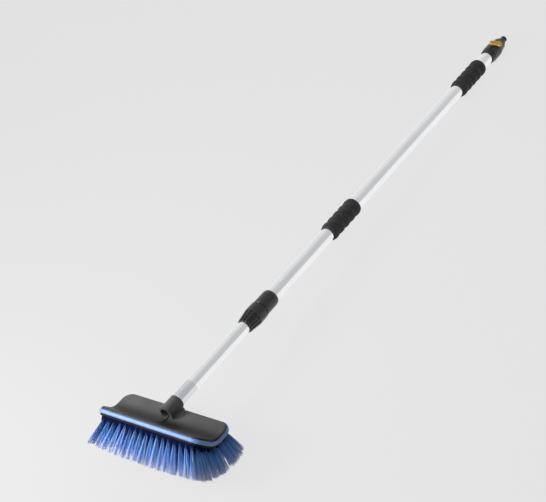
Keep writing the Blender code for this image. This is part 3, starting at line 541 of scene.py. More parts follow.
MATERIALS = {
    "black_plastic": moulded_plastic("moulded_black", (0.010, 0.018), (0.20, 0.32), 0.5, FINE_GRAIN),
    "head_plastic": head_material(),
    # The bristle block is a darker, duller copy of the black moulding: its darker colour is painted shade under
    # the strip
    "block_plastic_painted_shade": moulded_plastic("moulded_block_painted_shade", (0.007, 0.012), (0.55, 0.65), 0.06, COARSE_GRAIN),
    "black_foam": foam_material(),
    "aluminium": drawn_aluminium("drawn_tube", (0.90, 0.905, 0.915), (0.16, 0.24)),
    "ferrule": drawn_aluminium("turned_ferrule", (0.72, 0.73, 0.75), (0.07, 0.11)),
    "blue_rubber": rubber_material("bumper_rubber", (0.125, 0.235, 0.52), (0.165, 0.285, 0.59), 0.46, 0.40),
    "seal_rubber": rubber_material("seal_rubber", grey(0.012), grey(0.02), 0.5, 0.5),
    "steel": polished_material("polished_steel", (0.60, 0.61, 0.62), 0.22, 1.0),
    "yellow_plastic": polished_material("lever_plastic", (0.95, 0.62, 0.11), 0.36, 0.0),
    "white_plastic": polished_material("white_plastic", (0.78, 0.78, 0.76), 0.42, 0.0),
    "blue_bristle": bristle_material(),
}


# ---------------------------------------------------------------- mesh helpers


def as_object(name, mesh):
    made = bpy.data.objects.new(name, mesh)
    bpy.context.scene.collection.objects.link(made)
    return made


def placed_mesh(name, shape, matrix):
    """Turns a bmesh into a mesh in the row frame."""
    bmesh.ops.recalc_face_normals(shape, faces=shape.faces)
    mesh = bpy.data.meshes.new(name)
    shape.to_mesh(mesh)
    shape.free()
    mesh.transform(matrix)
    return mesh


def finish_mesh(name, mesh, body, node, slot, finish=None, smooth_angle=30):
    """Makes a piece that rides on a body and stands for a CAD node."""
    mesh.shade_smooth()
    mesh.set_sharp_from_angle(angle=radians(smooth_angle))
    mesh.materials.clear()
    mesh.materials.append(MATERIALS[finish or slot])
    piece = as_object(name, mesh)
    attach(piece, body)
    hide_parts(node)
    return piece


def finish_piece(name, shape, matrix, body, node, slot, finish=None, smooth_angle=30):
    mesh = placed_mesh(name, shape, matrix)
    return finish_mesh(name, mesh, body, node, slot, finish, smooth_angle)


def add_loops(shape, loops, is_closed):
    """Joins loops of vertices with quads; a closed profile also joins its last loop to its first."""
    pairs = list(zip(loops, loops[1:]))
    if is_closed:
        pairs.append((loops[-1], loops[0]))
    for lower, upper in pairs:
        for step in range(len(lower)):
            after = (step + 1) % len(lower)
            shape.faces.new((lower[step], lower[after], upper[after], upper[step]))


def add_capped_loops(shape, loops):
    shape.faces.new(loops[0])
    shape.faces.new(loops[-1])
    add_loops(shape, loops, is_closed=False)


def turned(profile, steps=TURNED_STEPS, is_closed=True, ripple=None):
    """Turns (radius, position) points about local Z; ripple(angle, radius, position) moves them out."""
    shape = bmesh.new()
    rings = []
    for radius, position in profile:
        ring = []
        for step in range(steps):
            angle = 2 * pi * step / steps
            out = radius + (ripple(angle, radius, position) if ripple else 0.0)
            ring.append(shape.verts.new((out * cos(angle), out * sin(angle), position)))
        rings.append(ring)
    if is_closed:
        add_loops(shape, rings, is_closed=True)
    else:
        add_capped_loops(shape, rings)
    return shape


def cylinder(radius, start, end, steps=TURNED_STEPS):
    return turned([(radius, start), (radius, end)], steps, is_closed=False)


def rounded(profile, radius, steps=4):
    """Rounds every corner of a closed profile by up to a radius."""
    points = [Vector(point) for point in profile]
    smooth = []
    for index, corner in enumerate(points):
        before = points[index - 1] - corner
        after = points[(index + 1) % len(points)] - corner
        reach = min(radius, before.length * 0.45, after.length * 0.45)
        start = corner + before.normalized() * reach
        end = corner + after.normalized() * reach
        for step in range(steps + 1):
            share = step / steps
            point = start * (1 - share) ** 2 + corner * 2 * share * (1 - share) + end * share**2
            smooth.append(tuple(point))
    return smooth


def half_outline(inset):
    """Points (x, station) of the head outline's +X half, from the front edge to the rear edge."""
    radius = CORNER_RADIUS - inset
    centre_x = HEAD_HALF_LENGTH - CORNER_RADIUS
    front = []
    for step in range(CORNER_STEPS + 1):
        angle = step * pi / 2 / CORNER_STEPS
        front.append((centre_x + radius * sin(angle), CORNER_RADIUS - radius * cos(angle)))
    bend = []
    for step in range(BEND_STEPS + 1):
        bend.append((centre_x + radius, FLAT_WIDTH + BEND_LENGTH * step / BEND_STEPS))
    rear = [(x, HEAD_ARC_WIDTH - station) for x, station in reversed(front)]
    return front + bend + rear


def plate_rings(shape, levels):
    """Right and left halves of vertices on the bent plate, for each (inset, height) level."""
    rings = []
    for inset, height in levels:
        outline = half_outline(inset)
        right = [shape.verts.new(plate_point(x, station, height)) for x, station in outline]
        left = [shape.verts.new(plate_point(-x, station, height)) for x, station in outline]
        rings.append((right, left))
    return rings


def plate(levels):
    """A solid on the bent plate whose edge is a list of (inset, height) levels, bottom to top."""
    shape = bmesh.new()
    rings = plate_rings(shape, levels)
    for right, left in (rings[0], rings[-1]):
        for index in range(len(right) - 1):
            shape.faces.new((right[index], right[index + 1], left[index + 1], left[index]))
    add_loops(shape, [right + left[::-1] for right, left in rings], is_closed=False)
    return shape


def edge_levels(inset, low, high, radii):
    """An edge profile with rounded lower and upper corners."""
    low_radius, high_radius = radii
    levels = []
    for step in range(EDGE_STEPS + 1):
        angle = step * pi / 2 / EDGE_STEPS
        levels.append((inset + low_radius * (1 - sin(angle)), low + low_radius * (1 - cos(angle))))
    for step in range(EDGE_STEPS + 1):
        angle = step * pi / 2 / EDGE_STEPS
        levels.append((inset + high_radius * (1 - cos(angle)), high - high_radius * (1 - sin(angle))))
    return levels


def helper(name, shape, matrix):
    """An object for a Boolean, which combine() removes again."""
    return as_object(name, placed_mesh(name, shape, matrix))


def combine(target, steps, bevel_width=0.0):
    """Applies Booleans, and then an optional bevel along the sharp edges, and returns the mesh."""
    for operation, cutter in steps:
        step = target.modifiers.new(cutter.name, "BOOLEAN")
        step.operation = operation
        step.solver = "EXACT"
        step.object = cutter
    if bevel_width:
        weld = target.modifiers.new("weld", "WELD")
        weld.merge_threshold = 0.02 * MM
        bevel = target.modifiers.new("bevel", "BEVEL")
        bevel.width = bevel_width
        bevel.segments = 2
        bevel.limit_method = "ANGLE"
        bevel.angle_limit = radians(50)
    bpy.context.view_layer.update()
    state = bpy.context.evaluated_depsgraph_get()
    mesh = bpy.data.meshes.new_from_object(target.evaluated_get(state))
    for item in [target] + [cutter for _, cutter in steps]:
        bpy.data.objects.remove(item, do_unlink=True)
    return mesh


# ---------------------------------------------------------------- brush head


def socket_outline():
    """Cross-section of the socket on the ramp: round on top, straight sides and flared feet."""
    foot = SHELL_TOP - SOCKET_FOOT_DEPTH
    points = []
    for step in range(SOCKET_ROUND_STEPS + 1):
        angle = pi * step / SOCKET_ROUND_STEPS
        points.append((SOCKET_RADIUS * cos(angle), SOCKET_HEIGHT + SOCKET_RADIUS * sin(angle)))
    flare = []
    for step in range(SOCKET_FLARE_STEPS + 1):
        angle = pi / 2 * step / SOCKET_FLARE_STEPS
        out = SOCKET_RADIUS + SOCKET_FLARE * (1 - cos(angle))
        flare.append((out, foot + SOCKET_FLARE * (1 - sin(angle))))
    return points + [(-x, height) for x, height in flare] + flare[::-1]


def extrude_along_pole(outline, start, end):
    """Extrudes an (x, height over the ramp) outline along the pole between two positions."""
    shape = bmesh.new()
    rings = []
    for position in (start, end):
        rings.append([shape.verts.new((x, SOCKET_HEIGHT - height, position)) for x, height in outline])
    add_capped_loops(shape, rings)
    return shape


def gusset_rib():
    """The upright rib in front of the socket, from inside its pocket down to the bend."""
    along = Vector((cos(BEND_ANGLE), sin(BEND_ANGLE)))
    above = Vector((-sin(BEND_ANGLE), cos(BEND_ANGLE)))
    start = Vector((AXIS_START, 0.0))
    inside = SOCKET_POCKET_TOP + 2 * MM
    top = start + along * inside + above * RIB_TOP
    behind = start + along * inside - above * (SOCKET_BORE_RADIUS + MM)
    front_position = (SHELL_TOP - RIB_TOP * cos(BEND_ANGLE)) / sin(BEND_ANGLE)
    front = start + along * front_position + above * RIB_TOP
    outline = [tuple(behind), tuple(top), tuple(front)]
    for step in range(RIB_FOOT_STEPS + 1):
        station = front.x + (FLAT_WIDTH + BEND_LENGTH - front.x) * step / RIB_FOOT_STEPS
        foot = plate_point(0.0, station, CHAMBER_TOP + MM)
        outline.append((foot.y, foot.z))
    shape = bmesh.new()
    sides = (-RIB_HALF_THICKNESS, RIB_HALF_THICKNESS)
    add_capped_loops(shape, [[shape.verts.new((x, y, z)) for y, z in outline] for x in sides])
    return shape


def build_socket():
    """The saddle and the barrel, without the pocket and the room for the strip."""
    saddle = helper("saddle", extrude_along_pole(socket_outline(), SOCKET_BOTTOM, SOCKET_SADDLE_END), POLE)
    barrel = helper("barrel", cylinder(SOCKET_RADIUS, SOCKET_BARREL_START, SOCKET_TOP), POLE)
    pocket = helper("pocket", cylinder(SOCKET_BORE_RADIUS, 0.0, SOCKET_POCKET_TOP), POLE)
    strip_room = [(-MM, STRIP_BOTTOM - GAP), (-MM, STRIP_TOP + GAP)]
    clearance = helper("clearance", plate(strip_room), HEAD)
    steps = [("UNION", barrel), ("DIFFERENCE", pocket), ("DIFFERENCE", clearance)]
    return as_object("socket", combine(saddle, steps))


def build_head_shell():
    levels = edge_levels(SHELL_INSET, JOINT_HALF_GAP, SHELL_TOP, SHELL_EDGE_RADII)
    shell = helper("shell", plate(levels), HEAD)
    rib = helper("rib", gusset_rib(), HEAD)
    chamber_levels = [(CHAMBER_INSET, -MM), (CHAMBER_INSET, CHAMBER_TOP)]
    chamber = helper("chamber", plate(chamber_levels), HEAD)
    bore = helper("bore", cylinder(SOCKET_BORE_RADIUS, SOCKET_BORE_START, SOCKET_TOP + MM), POLE)
    steps = [("UNION", build_socket()), ("UNION", rib), ("DIFFERENCE", chamber), ("DIFFERENCE", bore)]
    mesh = combine(shell, steps, SHELL_BEVEL)
    finish_mesh("head_shell_moulding", mesh, "inner_pole", "head_shell", "black_plastic", "head_plastic")


def build_bristle_block():
    block = plate(edge_levels(SHELL_INSET, BLOCK_BOTTOM, -JOINT_HALF_GAP, BLOCK_EDGE_RADII))
    place = (HEAD, "inner_pole", "bristle_block")
    finish_piece("bristle_block_moulding", block, *place, "black_plastic", "block_plastic_painted_shade")


def build_bumper_strip():
    """A soft band with a rounded outer face, and a rib that sits between the shell and the block."""
    middle = (STRIP_TOP + STRIP_BOTTOM) / 2
    half_height = (STRIP_TOP - STRIP_BOTTOM) / 2
    levels = []
    for step in range(STRIP_ROUND_STEPS + 1):
        angle = -pi / 2 + pi * step / STRIP_ROUND_STEPS
        levels.append((STRIP_BULGE * (1 - cos(angle)), middle + half_height * sin(angle)))
    levels += [
        (STRIP_THICKNESS, STRIP_TOP - STRIP_LIP),
        (STRIP_THICKNESS, STRIP_RIB_HALF),
        (STRIP_RIB_INSET, STRIP_RIB_HALF),
        (STRIP_RIB_INSET, -STRIP_RIB_HALF),
        (STRIP_THICKNESS, -STRIP_RIB_HALF),
        (STRIP_THICKNESS, STRIP_BOTTOM + STRIP_LIP),
    ]
    shape = bmesh.new()
    rings = plate_rings(shape, levels)
    add_loops(shape, [right + left[::-1] for right, left in rings], is_closed=True)
    finish_piece("bumper_band", shape, HEAD, "inner_pole", "bumper_strip", "blue_rubber")


# ---------------------------------------------------------------- bristles


def outline_half_length(station, inset):
    """Half the head's length at a station, with its rounded corners."""
    radius = CORNER_RADIUS - inset
    half = HEAD_HALF_LENGTH - inset
    edge = min(station, HEAD_ARC_WIDTH - station) - inset
    if edge >= radius:
        return half
    return half - radius + sqrt(max(radius**2 - (radius - edge) ** 2, 0.0))


def fan_angle(x, row_fan):
    """The tufts fan out, and most strongly at the ends."""
    share = x / HEAD_HALF_LENGTH
    return row_fan * ((1 - END_FAN_SHARE) * share + END_FAN_SHARE * share**3)


def painted_shade_sheet(matrix, half):
    """A near-black sheet of painted shade between the tufts' roots, as the corners and faces of a thin bar."""
    corners = []
    for height in (SHADE_SHEET_TOP, -SHADE_SHEET_DEPTH):
        for x in (-half, half):
            for y in (-SHADE_SHEET_HALF_THICKNESS, SHADE_SHEET_HALF_THICKNESS):
                corners.append(matrix @ Vector((x, y, height)))
    faces = [(0, 1, 3, 2), (4, 6, 7, 5), (0, 4, 5, 1), (2, 3, 7, 6), (0, 2, 6, 4), (1, 5, 7, 3)]
    return corners, faces


class RowMesh:
    """Vertices and faces of one bristle row, with a fade and a tint for each vertex; the tint also carries painted
    shade.
    """

    def __init__(self, vertices, faces):
        self.vertices = vertices
        self.faces = faces
        self.fades = [0.0] * len(vertices)
        self.tints_with_painted_shade = [0.0] * len(vertices)

    def add_filament(self, matrix, path, turn, tint, painted_shade):
        """Adds a tapered tube round a path from the root to the tip; its painted shade darkens the root's colour.
        """
        base = len(self.vertices)
        for step, centre in enumerate(path):
            along = step / FILAMENT_STEPS
            thickness = FILAMENT_RADIUS * (1 - FILAMENT_TAPER * along)
            for side in range(FILAMENT_SIDES):
                angle = 2 * pi * side / FILAMENT_SIDES + turn
                offset = Vector((cos(angle), sin(angle), 0.0)) * thickness
                place = matrix @ (centre + offset)
                place.z = max(place.z, FLOOR_CLEARANCE)
                self.vertices.append(place)
                self.fades.append(along)
                self.tints_with_painted_shade.append(tint - painted_shade * (1 - along))
        self.faces += filament_faces(base)

    def to_mesh(self, name):
        mesh = bpy.data.meshes.new(name)
        mesh.from_pydata(self.vertices, [], self.faces)
        for attribute_name, values in (("fade", self.fades), ("tint", self.tints_with_painted_shade)):
            attribute = mesh.attributes.new(attribute_name, "FLOAT", "POINT")
            attribute.data.foreach_set("value", values)
        return mesh


def filament_faces(base):
    """Faces of one filament's tube, and its two ends, from its first vertex number."""
    faces = []
    for step in range(FILAMENT_STEPS):
        low = base + step * FILAMENT_SIDES
        for side in range(FILAMENT_SIDES):
            after = (side + 1) % FILAMENT_SIDES
            faces.append((low + side, low + after, low + after + FILAMENT_SIDES, low + side + FILAMENT_SIDES))
    last = base + FILAMENT_STEPS * FILAMENT_SIDES
    faces.append(tuple(last + side for side in range(FILAMENT_SIDES)))
    faces.append(tuple(base + side for side in reversed(range(FILAMENT_SIDES))))
    return faces


def tuft_places(station, lean, corner_lean):
    """The (x, station, lean, is_end) of a row's tufts; extra end tufts stand halfway to the next row."""
    half = outline_half_length(station, SHELL_INSET) - ROW_END_MARGIN
    count = round(2 * half / TUFT_PITCH)
    pitch = 2 * half / count
    places = []
    for tuft in range(count):
        places.append((-half + pitch * (tuft + 0.5), station, lean, tuft in (0, count - 1)))
    if corner_lean is not None:
        between = station + ROW_SPACING / 2
        end = outline_half_length(between, SHELL_INSET) - ROW_END_MARGIN - pitch / 2
        places += [(x, between, corner_lean, True) for x in (-end, end)]
    return places


def add_tuft(row, matrix, axis, length, is_end, painted_shade, chance):
    """Adds one wedge of filaments about an axis."""
    reach_out = (END_TUFT_REACH if is_end else TUFT_TIP_REACH) - TUFT_ROOT_RADIUS
    depth_out = (END_TUFT_DEPTH if is_end else TUFT_TIP_DEPTH) - TUFT_ROOT_RADIUS
    tuft_tint = chance.normal(0.0, TUFT_TINT_SCATTER)
    for _ in range(FILAMENTS_PER_TUFT):
        turn = chance.uniform(0, 2 * pi)
        share = sqrt(chance.uniform(0, 1))
        around = Vector((cos(turn), sin(turn), 0.0)) * share
        root = around * TUFT_ROOT_RADIUS
        reach = length * (1 + chance.normal(0, LENGTH_SCATTER) - EDGE_SHORTENING * share)
        widening = chance.uniform(*FILAMENT_SPREAD_RANGE)
        spread = Vector((around.x * reach_out, around.y * depth_out, 0.0)) * widening
        bow = Vector((chance.normal(0, BOW_SCATTER_MM), chance.normal(0, BOW_SCATTER_MM), 0.0)) * MM
        tint = tuft_tint + chance.normal(0, FILAMENT_TINT_SCATTER)
        path = []
        for step in range(FILAMENT_STEPS + 1):
            along = step / FILAMENT_STEPS
            path.append(root + axis * reach * along + spread * along + bow * sin(pi * along))
        row.add_filament(matrix, path, turn, tint, painted_shade)


def build_bristle_row(number, station, lean, corner_lean, row_fan, row_tip, chance):
    """One row of tufts on its sheet of painted shade; the rows behind the first carry painted shade at their
    roots.
    """
    half = outline_half_length(station, SHELL_INSET) - ROW_END_MARGIN
    length = BLOCK_BOTTOM - row_tip
    row = RowMesh(*painted_shade_sheet(HEAD @ plate_matrix(0.0, station, BLOCK_BOTTOM, lean), half + SHADE_SHEET_OVERHANG))
    for x, tuft_station, tuft_lean, is_end in tuft_places(station, lean, corner_lean):
        fan = fan_angle(x, row_fan) + chance.normal(0, TUFT_ANGLE_SCATTER)
        tuft_lean += chance.normal(0, TUFT_ANGLE_SCATTER)
        axis = Vector((sin(fan), sin(tuft_lean), -cos(fan)))
        matrix = HEAD @ plate_matrix(x, tuft_station, BLOCK_BOTTOM)
        painted_shade = 0.0 if number == 1 or is_end else INNER_ROW_PAINTED_SHADE
        add_tuft(row, matrix, axis, length, is_end, painted_shade, chance)
    name = f"tufts_{number}"
    finish_mesh(name, row.to_mesh(name), "inner_pole", f"bristle_row_{number}", "blue_bristle")


def build_bristles():
    chance = np.random.default_rng(7)
    corner_leans = [(lean + after) / 2 for lean, after in zip(ROW_LEANS, ROW_LEANS[1:])] + [None]
    rows = zip(ROW_STATIONS, ROW_LEANS, corner_leans, ROW_FANS, ROW_TIPS)
    for number, settings in enumerate(rows, start=1):
        build_bristle_row(number, *settings, chance)


# ---------------------------------------------------------------- pole


def build_tube(name, body, bore, radius, start, end):
    profile = [(bore, start), (radius, start), (radius, end), (bore, end)]
    shape = turned(rounded(profile, TUBE_EDGE_RADIUS))
    finish_piece(f"{name}_drawn", shape, POLE, body, name, "aluminium")


def build_tubes():
    inner = (INNER_TUBE_BORE, INNER_TUBE_RADIUS, INNER_TUBE_START, INNER_TUBE_END)
    build_tube("inner_tube", "inner_pole", *inner)
    outer = (OUTER_TUBE_BORE, OUTER_TUBE_RADIUS, OUTER_TUBE_START, OUTER_TUBE_END)
    build_tube("outer_tube", "handle", *outer)


def build_ferrule():
    """A sleeve over the inner tube's end, and a grooved spigot in the socket."""
    seat = INNER_TUBE_RADIUS + GAP
    profile = [
        (FERRULE_BORE, SPIGOT_START),
        (SPIGOT_RADIUS, SPIGOT_START),
        (SPIGOT_RADIUS, SPIGOT_GROOVE[0]),
        (SPIGOT_GROOVE_RADIUS, SPIGOT_GROOVE[0]),
        (SPIGOT_GROOVE_RADIUS, SPIGOT_GROOVE[1]),
        (SPIGOT_RADIUS, SPIGOT_GROOVE[1]),
        (SPIGOT_RADIUS, SOCKET_TOP + GAP),
        (FERRULE_RADIUS, SOCKET_TOP + GAP),
        (FERRULE_RADIUS, FERRULE_END),
        (seat, FERRULE_END),
        (seat, INNER_TUBE_START - GAP),
        (FERRULE_BORE, INNER_TUBE_START - GAP),
    ]
    shape = turned(rounded(profile, FERRULE_EDGE_RADIUS))
    finish_piece("ferrule_sleeve", shape, POLE, "inner_pole", "ferrule", "aluminium", "ferrule")


def nut_radius(position):
    """Outside of the lock nut over its ribs."""
    along = (position - NUT_START) / MM
    return float(np.interp(along, *zip(*NUT_PROFILE))) * MM


def build_lock_nut():
    """A cone with deep grooves between square ribs, below a smooth band."""
    groove_end = NUT_START + NUT_RIB_LENGTH

    def ripple(angle, radius, position):
        if position > groove_end + 0.1 * MM or radius < nut_radius(position) - 0.01 * MM:
            return 0.0
        wave = cos(angle * NUT_RIBS)
        depth = NUT_GROOVE_DEPTH * min(max((NUT_GROOVE_EDGE - wave) / (2 * NUT_GROOVE_EDGE), 0.0), 1.0)
        near_rim = min(max((position - NUT_START) / NUT_RIM_FADE, 0.0), 1.0)
        return -depth * near_rim

    rib_steps = round(NUT_RIB_LENGTH / MM)
    positions = [NUT_START + step * MM for step in range(rib_steps + 1)]
    positions += [groove_end + along for along in NUT_BAND_STEPS]
    outside = [(nut_radius(position), position) for position in positions]
    inside = [
        (NUT_END_RADIUS, NUT_END),
        (NUT_THREAD_BORE, NUT_END),
        (NUT_THREAD_BORE, OUTER_TUBE_START),
        (NUT_CONE_RADIUS, NUT_START + NUT_RIM_LENGTH),
        (NUT_RIM_BORE, NUT_START + NUT_RIM_LENGTH),
        (NUT_RIM_BORE, NUT_START),
    ]
    shape = turned(outside + inside, NUT_RIBS * NUT_STEPS_PER_RIB, True, ripple)
    finish_piece("lock_nut_moulding", shape, POLE, "lock_nut", "lock_nut", "black_plastic")


def build_lock_collar():
    """A collar with a domed end, and a neck that carries the nut's thread."""
    bore = OUTER_TUBE_RADIUS + GAP
    dome_start = COLLAR_END - COLLAR_DOME_LENGTH
    profile = [
        (bore, OUTER_TUBE_START),
        (COLLAR_NECK_RADIUS, OUTER_TUBE_START),
        (COLLAR_NECK_RADIUS, COLLAR_FACE),
        (COLLAR_FACE_RADIUS, COLLAR_FACE),
        (COLLAR_RADIUS, COLLAR_CHAMFER_END),
        (COLLAR_RADIUS, dome_start),
    ]
    for step in range(1, COLLAR_DOME_STEPS + 1):
        angle = step * pi / 2 / COLLAR_DOME_STEPS
        radius = COLLAR_RADIUS - COLLAR_DOME_DROP * (1 - cos(angle))
        profile.append((radius, dome_start + COLLAR_DOME_RISE * sin(angle)))
    profile += [(bore + 0.2 * MM, COLLAR_END), (bore, COLLAR_END - 0.2 * MM)]
    finish_piece("lock_collar_moulding", turned(profile), POLE, "handle", "lock_collar", "black_plastic")


def build_grips():
    """Foam sleeves with soft bulges between narrow valleys."""
    bore = OUTER_TUBE_RADIUS + GAP
    count = GRIP_RIBS * GRIP_POINTS_PER_RIB
    ribbed_length = GRIP_LENGTH - 2 * GRIP_END_ROUNDING
    for name, start in GRIP_STARTS.items():
        end = start + GRIP_LENGTH
        profile = [(bore, start), (GRIP_END_RADIUS, start)]
        for step in range(count + 1):
            wave = abs(sin(pi * step / GRIP_POINTS_PER_RIB)) ** GRIP_FULLNESS
            radius = GRIP_VALLEY_RADIUS + (GRIP_RADIUS - GRIP_VALLEY_RADIUS) * wave
            profile.append((radius, start + GRIP_END_ROUNDING + ribbed_length * step / count))
        profile += [(GRIP_END_RADIUS, end), (bore, end)]
        place = (POLE, "handle", name)
        grip = finish_piece(f"{name}_foam", turned(profile), *place, "black_foam", smooth_angle=60)


# ---------------------------------------------------------------- valve


def build_valve_body():
    """A barrel on the tube's end with a tapered nose, the ball's chamber and the lever's boss."""
    sleeve = OUTER_TUBE_RADIUS + GAP
    tube_stop = OUTER_TUBE_END + GAP
    profile = [
        (TUBE_SEAL_RADIUS, VALVE_START + 4 * MM),
        (VALVE_NOSE_RADIUS, VALVE_START + 4 * MM),
        (VALVE_NOSE_RADIUS, tube_stop),
        (sleeve, tube_stop),
        (sleeve, VALVE_START),
        (14.0 * MM, VALVE_START),
        (15.2 * MM, VALVE_START + 5 * MM),
        (VALVE_RADIUS, VALVE_START + 10 * MM),
        (VALVE_RADIUS, VALVE_SHOULDER),
        (15.2 * MM, VALVE_SHOULDER + 4 * MM),
        (13.5 * MM, VALVE_SHOULDER + 11 * MM),
        (12.0 * MM, VALVE_END - 2 * MM),
        (VALVE_NOSE_RADIUS, VALVE_END),
        (CHAMBER_RADIUS, VALVE_END),
        (CHAMBER_RADIUS, BALL_POSITION - BALL_ROOM),
        (WATER_WAY_RADIUS, BALL_POSITION - BALL_ROOM),
        (WATER_WAY_RADIUS, OUTER_TUBE_END + 2.3 * MM),
        (TUBE_SEAL_RADIUS, tube_stop),
    ]
    body = helper("valve", turned(rounded(profile, VALVE_EDGE_RADIUS)), POLE)
    boss = helper("boss", cylinder(LEVER_HUB_RADIUS, BOSS_START, STEM_END, 64), LEVER)
    hole = helper("hole", cylinder(STEM_HOLE_RADIUS, 0.0, LEVER_START, 48), LEVER)
    mesh = combine(body, [("UNION", boss), ("DIFFERENCE", hole)])
    finish_mesh("valve_housing", mesh, "handle", "valve_body", "black_plastic")


def lever_outline():
    """A teardrop: the round hub, and an arm that narrows slightly before its round end."""
    points = []
    end_radius = LEVER_ARM_WIDTH / 2
    end_centre = LEVER_ARM_LENGTH - end_radius
    for step in range(LEVER_HUB_STEPS + 1):
        angle = LEVER_ARM_MEETS_HUB + 2 * (pi - LEVER_ARM_MEETS_HUB) * step / LEVER_HUB_STEPS
        points.append((LEVER_HUB_RADIUS * cos(angle), LEVER_HUB_RADIUS * sin(angle)))
    for step in range(LEVER_ARM_STEPS + 1):
        angle = -pi / 2 + pi * step / LEVER_ARM_STEPS
        points.append((end_centre + end_radius * cos(angle), end_radius * sin(angle)))
    return points


def build_lever():
    """The outline stacked in levels, each drawn in towards the lever's centre line."""
    end_centre = LEVER_ARM_LENGTH - LEVER_ARM_WIDTH / 2
    shape = bmesh.new()
    rings = []
    for height, inset in LEVER_EDGE:
        ring = []
        for x, y in lever_outline():
            middle = Vector((min(max(x, 0.0), end_centre), 0.0))
            inward = (middle - Vector((x, y))).normalized() * inset
            ring.append(shape.verts.new((x + inward.x, y + inward.y, LEVER_START + height)))
        rings.append(ring)
    add_capped_loops(shape, rings)
    finish_piece("lever_moulding", shape, LEVER, "shut_off", "valve_lever", "yellow_plastic")


def build_nipple():
    """A plug in the valve's nose, a shoulder, and the grooved end that a hose connector grips."""
    plug = CHAMBER_RADIUS - GAP
    profile = [
        (NIPPLE_BORE, NIPPLE_START),
        (plug, NIPPLE_START),
        (plug, VALVE_END + GAP),
        (NIPPLE_SHOULDER_RADIUS, VALVE_END + GAP),
        (NIPPLE_SHOULDER_RADIUS, VALVE_END + 6 * MM),
        (7.4 * MM, VALVE_END + 8 * MM),
        (NIPPLE_NECK_RADIUS, VALVE_END + 9 * MM),
        (NIPPLE_NECK_RADIUS, VALVE_END + 11 * MM),
        (NIPPLE_RADIUS, VALVE_END + 12 * MM),
        (NIPPLE_RADIUS, SEAL_GROOVE_START),
        (NIPPLE_RADIUS - SEAL_GROOVE_DEPTH, SEAL_GROOVE_START),
        (NIPPLE_RADIUS - SEAL_GROOVE_DEPTH, SEAL_GROOVE_END),
        (NIPPLE_RADIUS, SEAL_GROOVE_END),
        (NIPPLE_RADIUS, NIPPLE_END - 1.2 * MM),
        (NIPPLE_RADIUS - MM, NIPPLE_END),
        (NIPPLE_BORE, NIPPLE_END),
    ]
    shape = turned(rounded(profile, NIPPLE_EDGE_RADIUS))
    finish_piece("nipple_moulding", shape, POLE, "handle", "hose_nipple", "black_plastic")


def dress_cad_nodes():
    """CAD nodes that keep their own shape take a detailed material."""
    slots = {item["node"]: item["material_slot"] for item in frame["record"]["subparts"]}
    for name, node in frame["nodes"].items():
        node.data.materials.clear()
        node.data.materials.append(MATERIALS[slots[name]])


# ---------------------------------------------------------------- studio


def camera_direction():
    """From the object towards the camera."""
    level = cos(CAMERA_ELEVATION)
    return Vector((sin(CAMERA_AZIMUTH) * level, -cos(CAMERA_AZIMUTH) * level, sin(CAMERA_ELEVATION)))


def build_camera():
    back = camera_direction()
    data = bpy.data.cameras.new("camera")
    data.lens = CAMERA_LENS
    data.sensor_width = CAMERA_SENSOR
    camera = as_object("camera", data)
    place = Matrix.Translation(CAMERA_TARGET + back * CAMERA_DISTANCE)
    level = back.to_track_quat("Z", "Y").to_matrix().to_4x4()
    camera.matrix_world = place @ level @ Matrix.Rotation(-CAMERA_ROLL, 4, "Z")
    bpy.context.scene.camera = camera


def build_floor():
    """A pale floor that glows like a lit white sweep, with only a faint shadow."""
    bpy.ops.mesh.primitive_plane_add(size=FLOOR_SIZE, location=(0, 0, FLOOR_HEIGHT))
    floor = bpy.context.object
    floor.name = "studio_floor"
    made = Nodes("studio_floor")
    rays = made.add("ShaderNodeLightPath")
    seen_or_fill = made.add("ShaderNodeMix")
    seen_or_fill.inputs["A"].default_value = FLOOR_SEEN
    seen_or_fill.inputs["B"].default_value = FLOOR_FILL
    made.link(rays.outputs["Is Diffuse Ray"], seen_or_fill.inputs["Factor"])
    glow = made.add("ShaderNodeMix")
    glow.inputs["B"].default_value = FLOOR_GLOSS
    made.link(rays.outputs["Is Glossy Ray"], glow.inputs["Factor"])
    made.link(seen_or_fill.outputs["Result"], glow.inputs["A"])
    made.feed(glow.outputs["Result"], "Emission Strength")
    made.set(Base_Color=(*grey(FLOOR_REFLECTANCE), 1), Emission_Color=(*BACKDROP_COLOUR, 1))
    made.set(Roughness=1.0, Specular_IOR_Level=0.0)
    floor.data.materials.append(made.material)


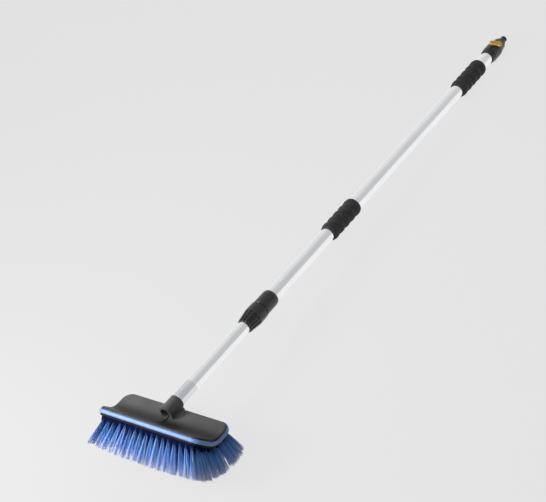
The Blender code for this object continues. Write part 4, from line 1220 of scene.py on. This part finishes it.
def area_light(name, place, target, width, height, power):
    data = bpy.data.lights.new(name, "AREA")
    data.shape = "RECTANGLE"
    data.size = width
    data.size_y = height
    data.energy = power
    light = as_object(name, data)
    aim = (Vector(target) - Vector(place)).to_track_quat("-Z", "Y").to_matrix().to_4x4()
    light.matrix_world = Matrix.Translation(place) @ aim


def build_world():
    """Dim soft fill, and in reflections a bright room with a darker band that faces the pole's top."""
    world = bpy.data.worlds.new("studio")
    bpy.context.scene.world = world
    world.use_nodes = True
    tree = world.node_tree
    background = tree.nodes["Background"]
    background.inputs["Color"].default_value = (*BACKDROP_COLOUR, 1)
    along_pole = POLE.to_3x3() @ Vector((0, 0, 1))
    towards_camera = camera_direction()
    band = (towards_camera - along_pole * towards_camera.dot(along_pole)).normalized()
    coordinates = tree.nodes.new("ShaderNodeTexCoord")
    facing = tree.nodes.new("ShaderNodeVectorMath")
    facing.operation = "DOT_PRODUCT"
    facing.inputs[1].default_value = band
    tree.links.new(coordinates.outputs["Generated"], facing.inputs[0])
    room = tree.nodes.new("ShaderNodeMapRange")
    room.interpolation_type = "SMOOTHSTEP"
    room.inputs["From Min"].default_value = BAND_EDGE
    room.inputs["From Max"].default_value = BAND_MIDDLE
    room.inputs["To Min"].default_value = ROOM_BRIGHT
    room.inputs["To Max"].default_value = ROOM_DARK
    tree.links.new(facing.outputs["Value"], room.inputs["Value"])
    rays = tree.nodes.new("ShaderNodeLightPath")
    strength = tree.nodes.new("ShaderNodeMix")
    strength.inputs["B"].default_value = ROOM_FILL
    tree.links.new(rays.outputs["Is Diffuse Ray"], strength.inputs["Factor"])
    tree.links.new(room.outputs["Result"], strength.inputs["A"])
    tree.links.new(strength.outputs["Result"], background.inputs["Strength"])


def build_studio():
    build_world()
    build_floor()
    for settings in LIGHTS:
        area_light(*settings)
    scene = bpy.context.scene
    scene.view_settings.view_transform = "Standard"
    scene.view_settings.look = "None"


# ---------------------------------------------------------------- everything


build_camera()
dress_cad_nodes()
build_head_shell()
build_bristle_block()
build_bumper_strip()
build_bristles()
build_ferrule()
build_tubes()
build_lock_nut()
build_lock_collar()
build_grips()
build_valve_body()
build_lever()
build_nipple()
build_studio()
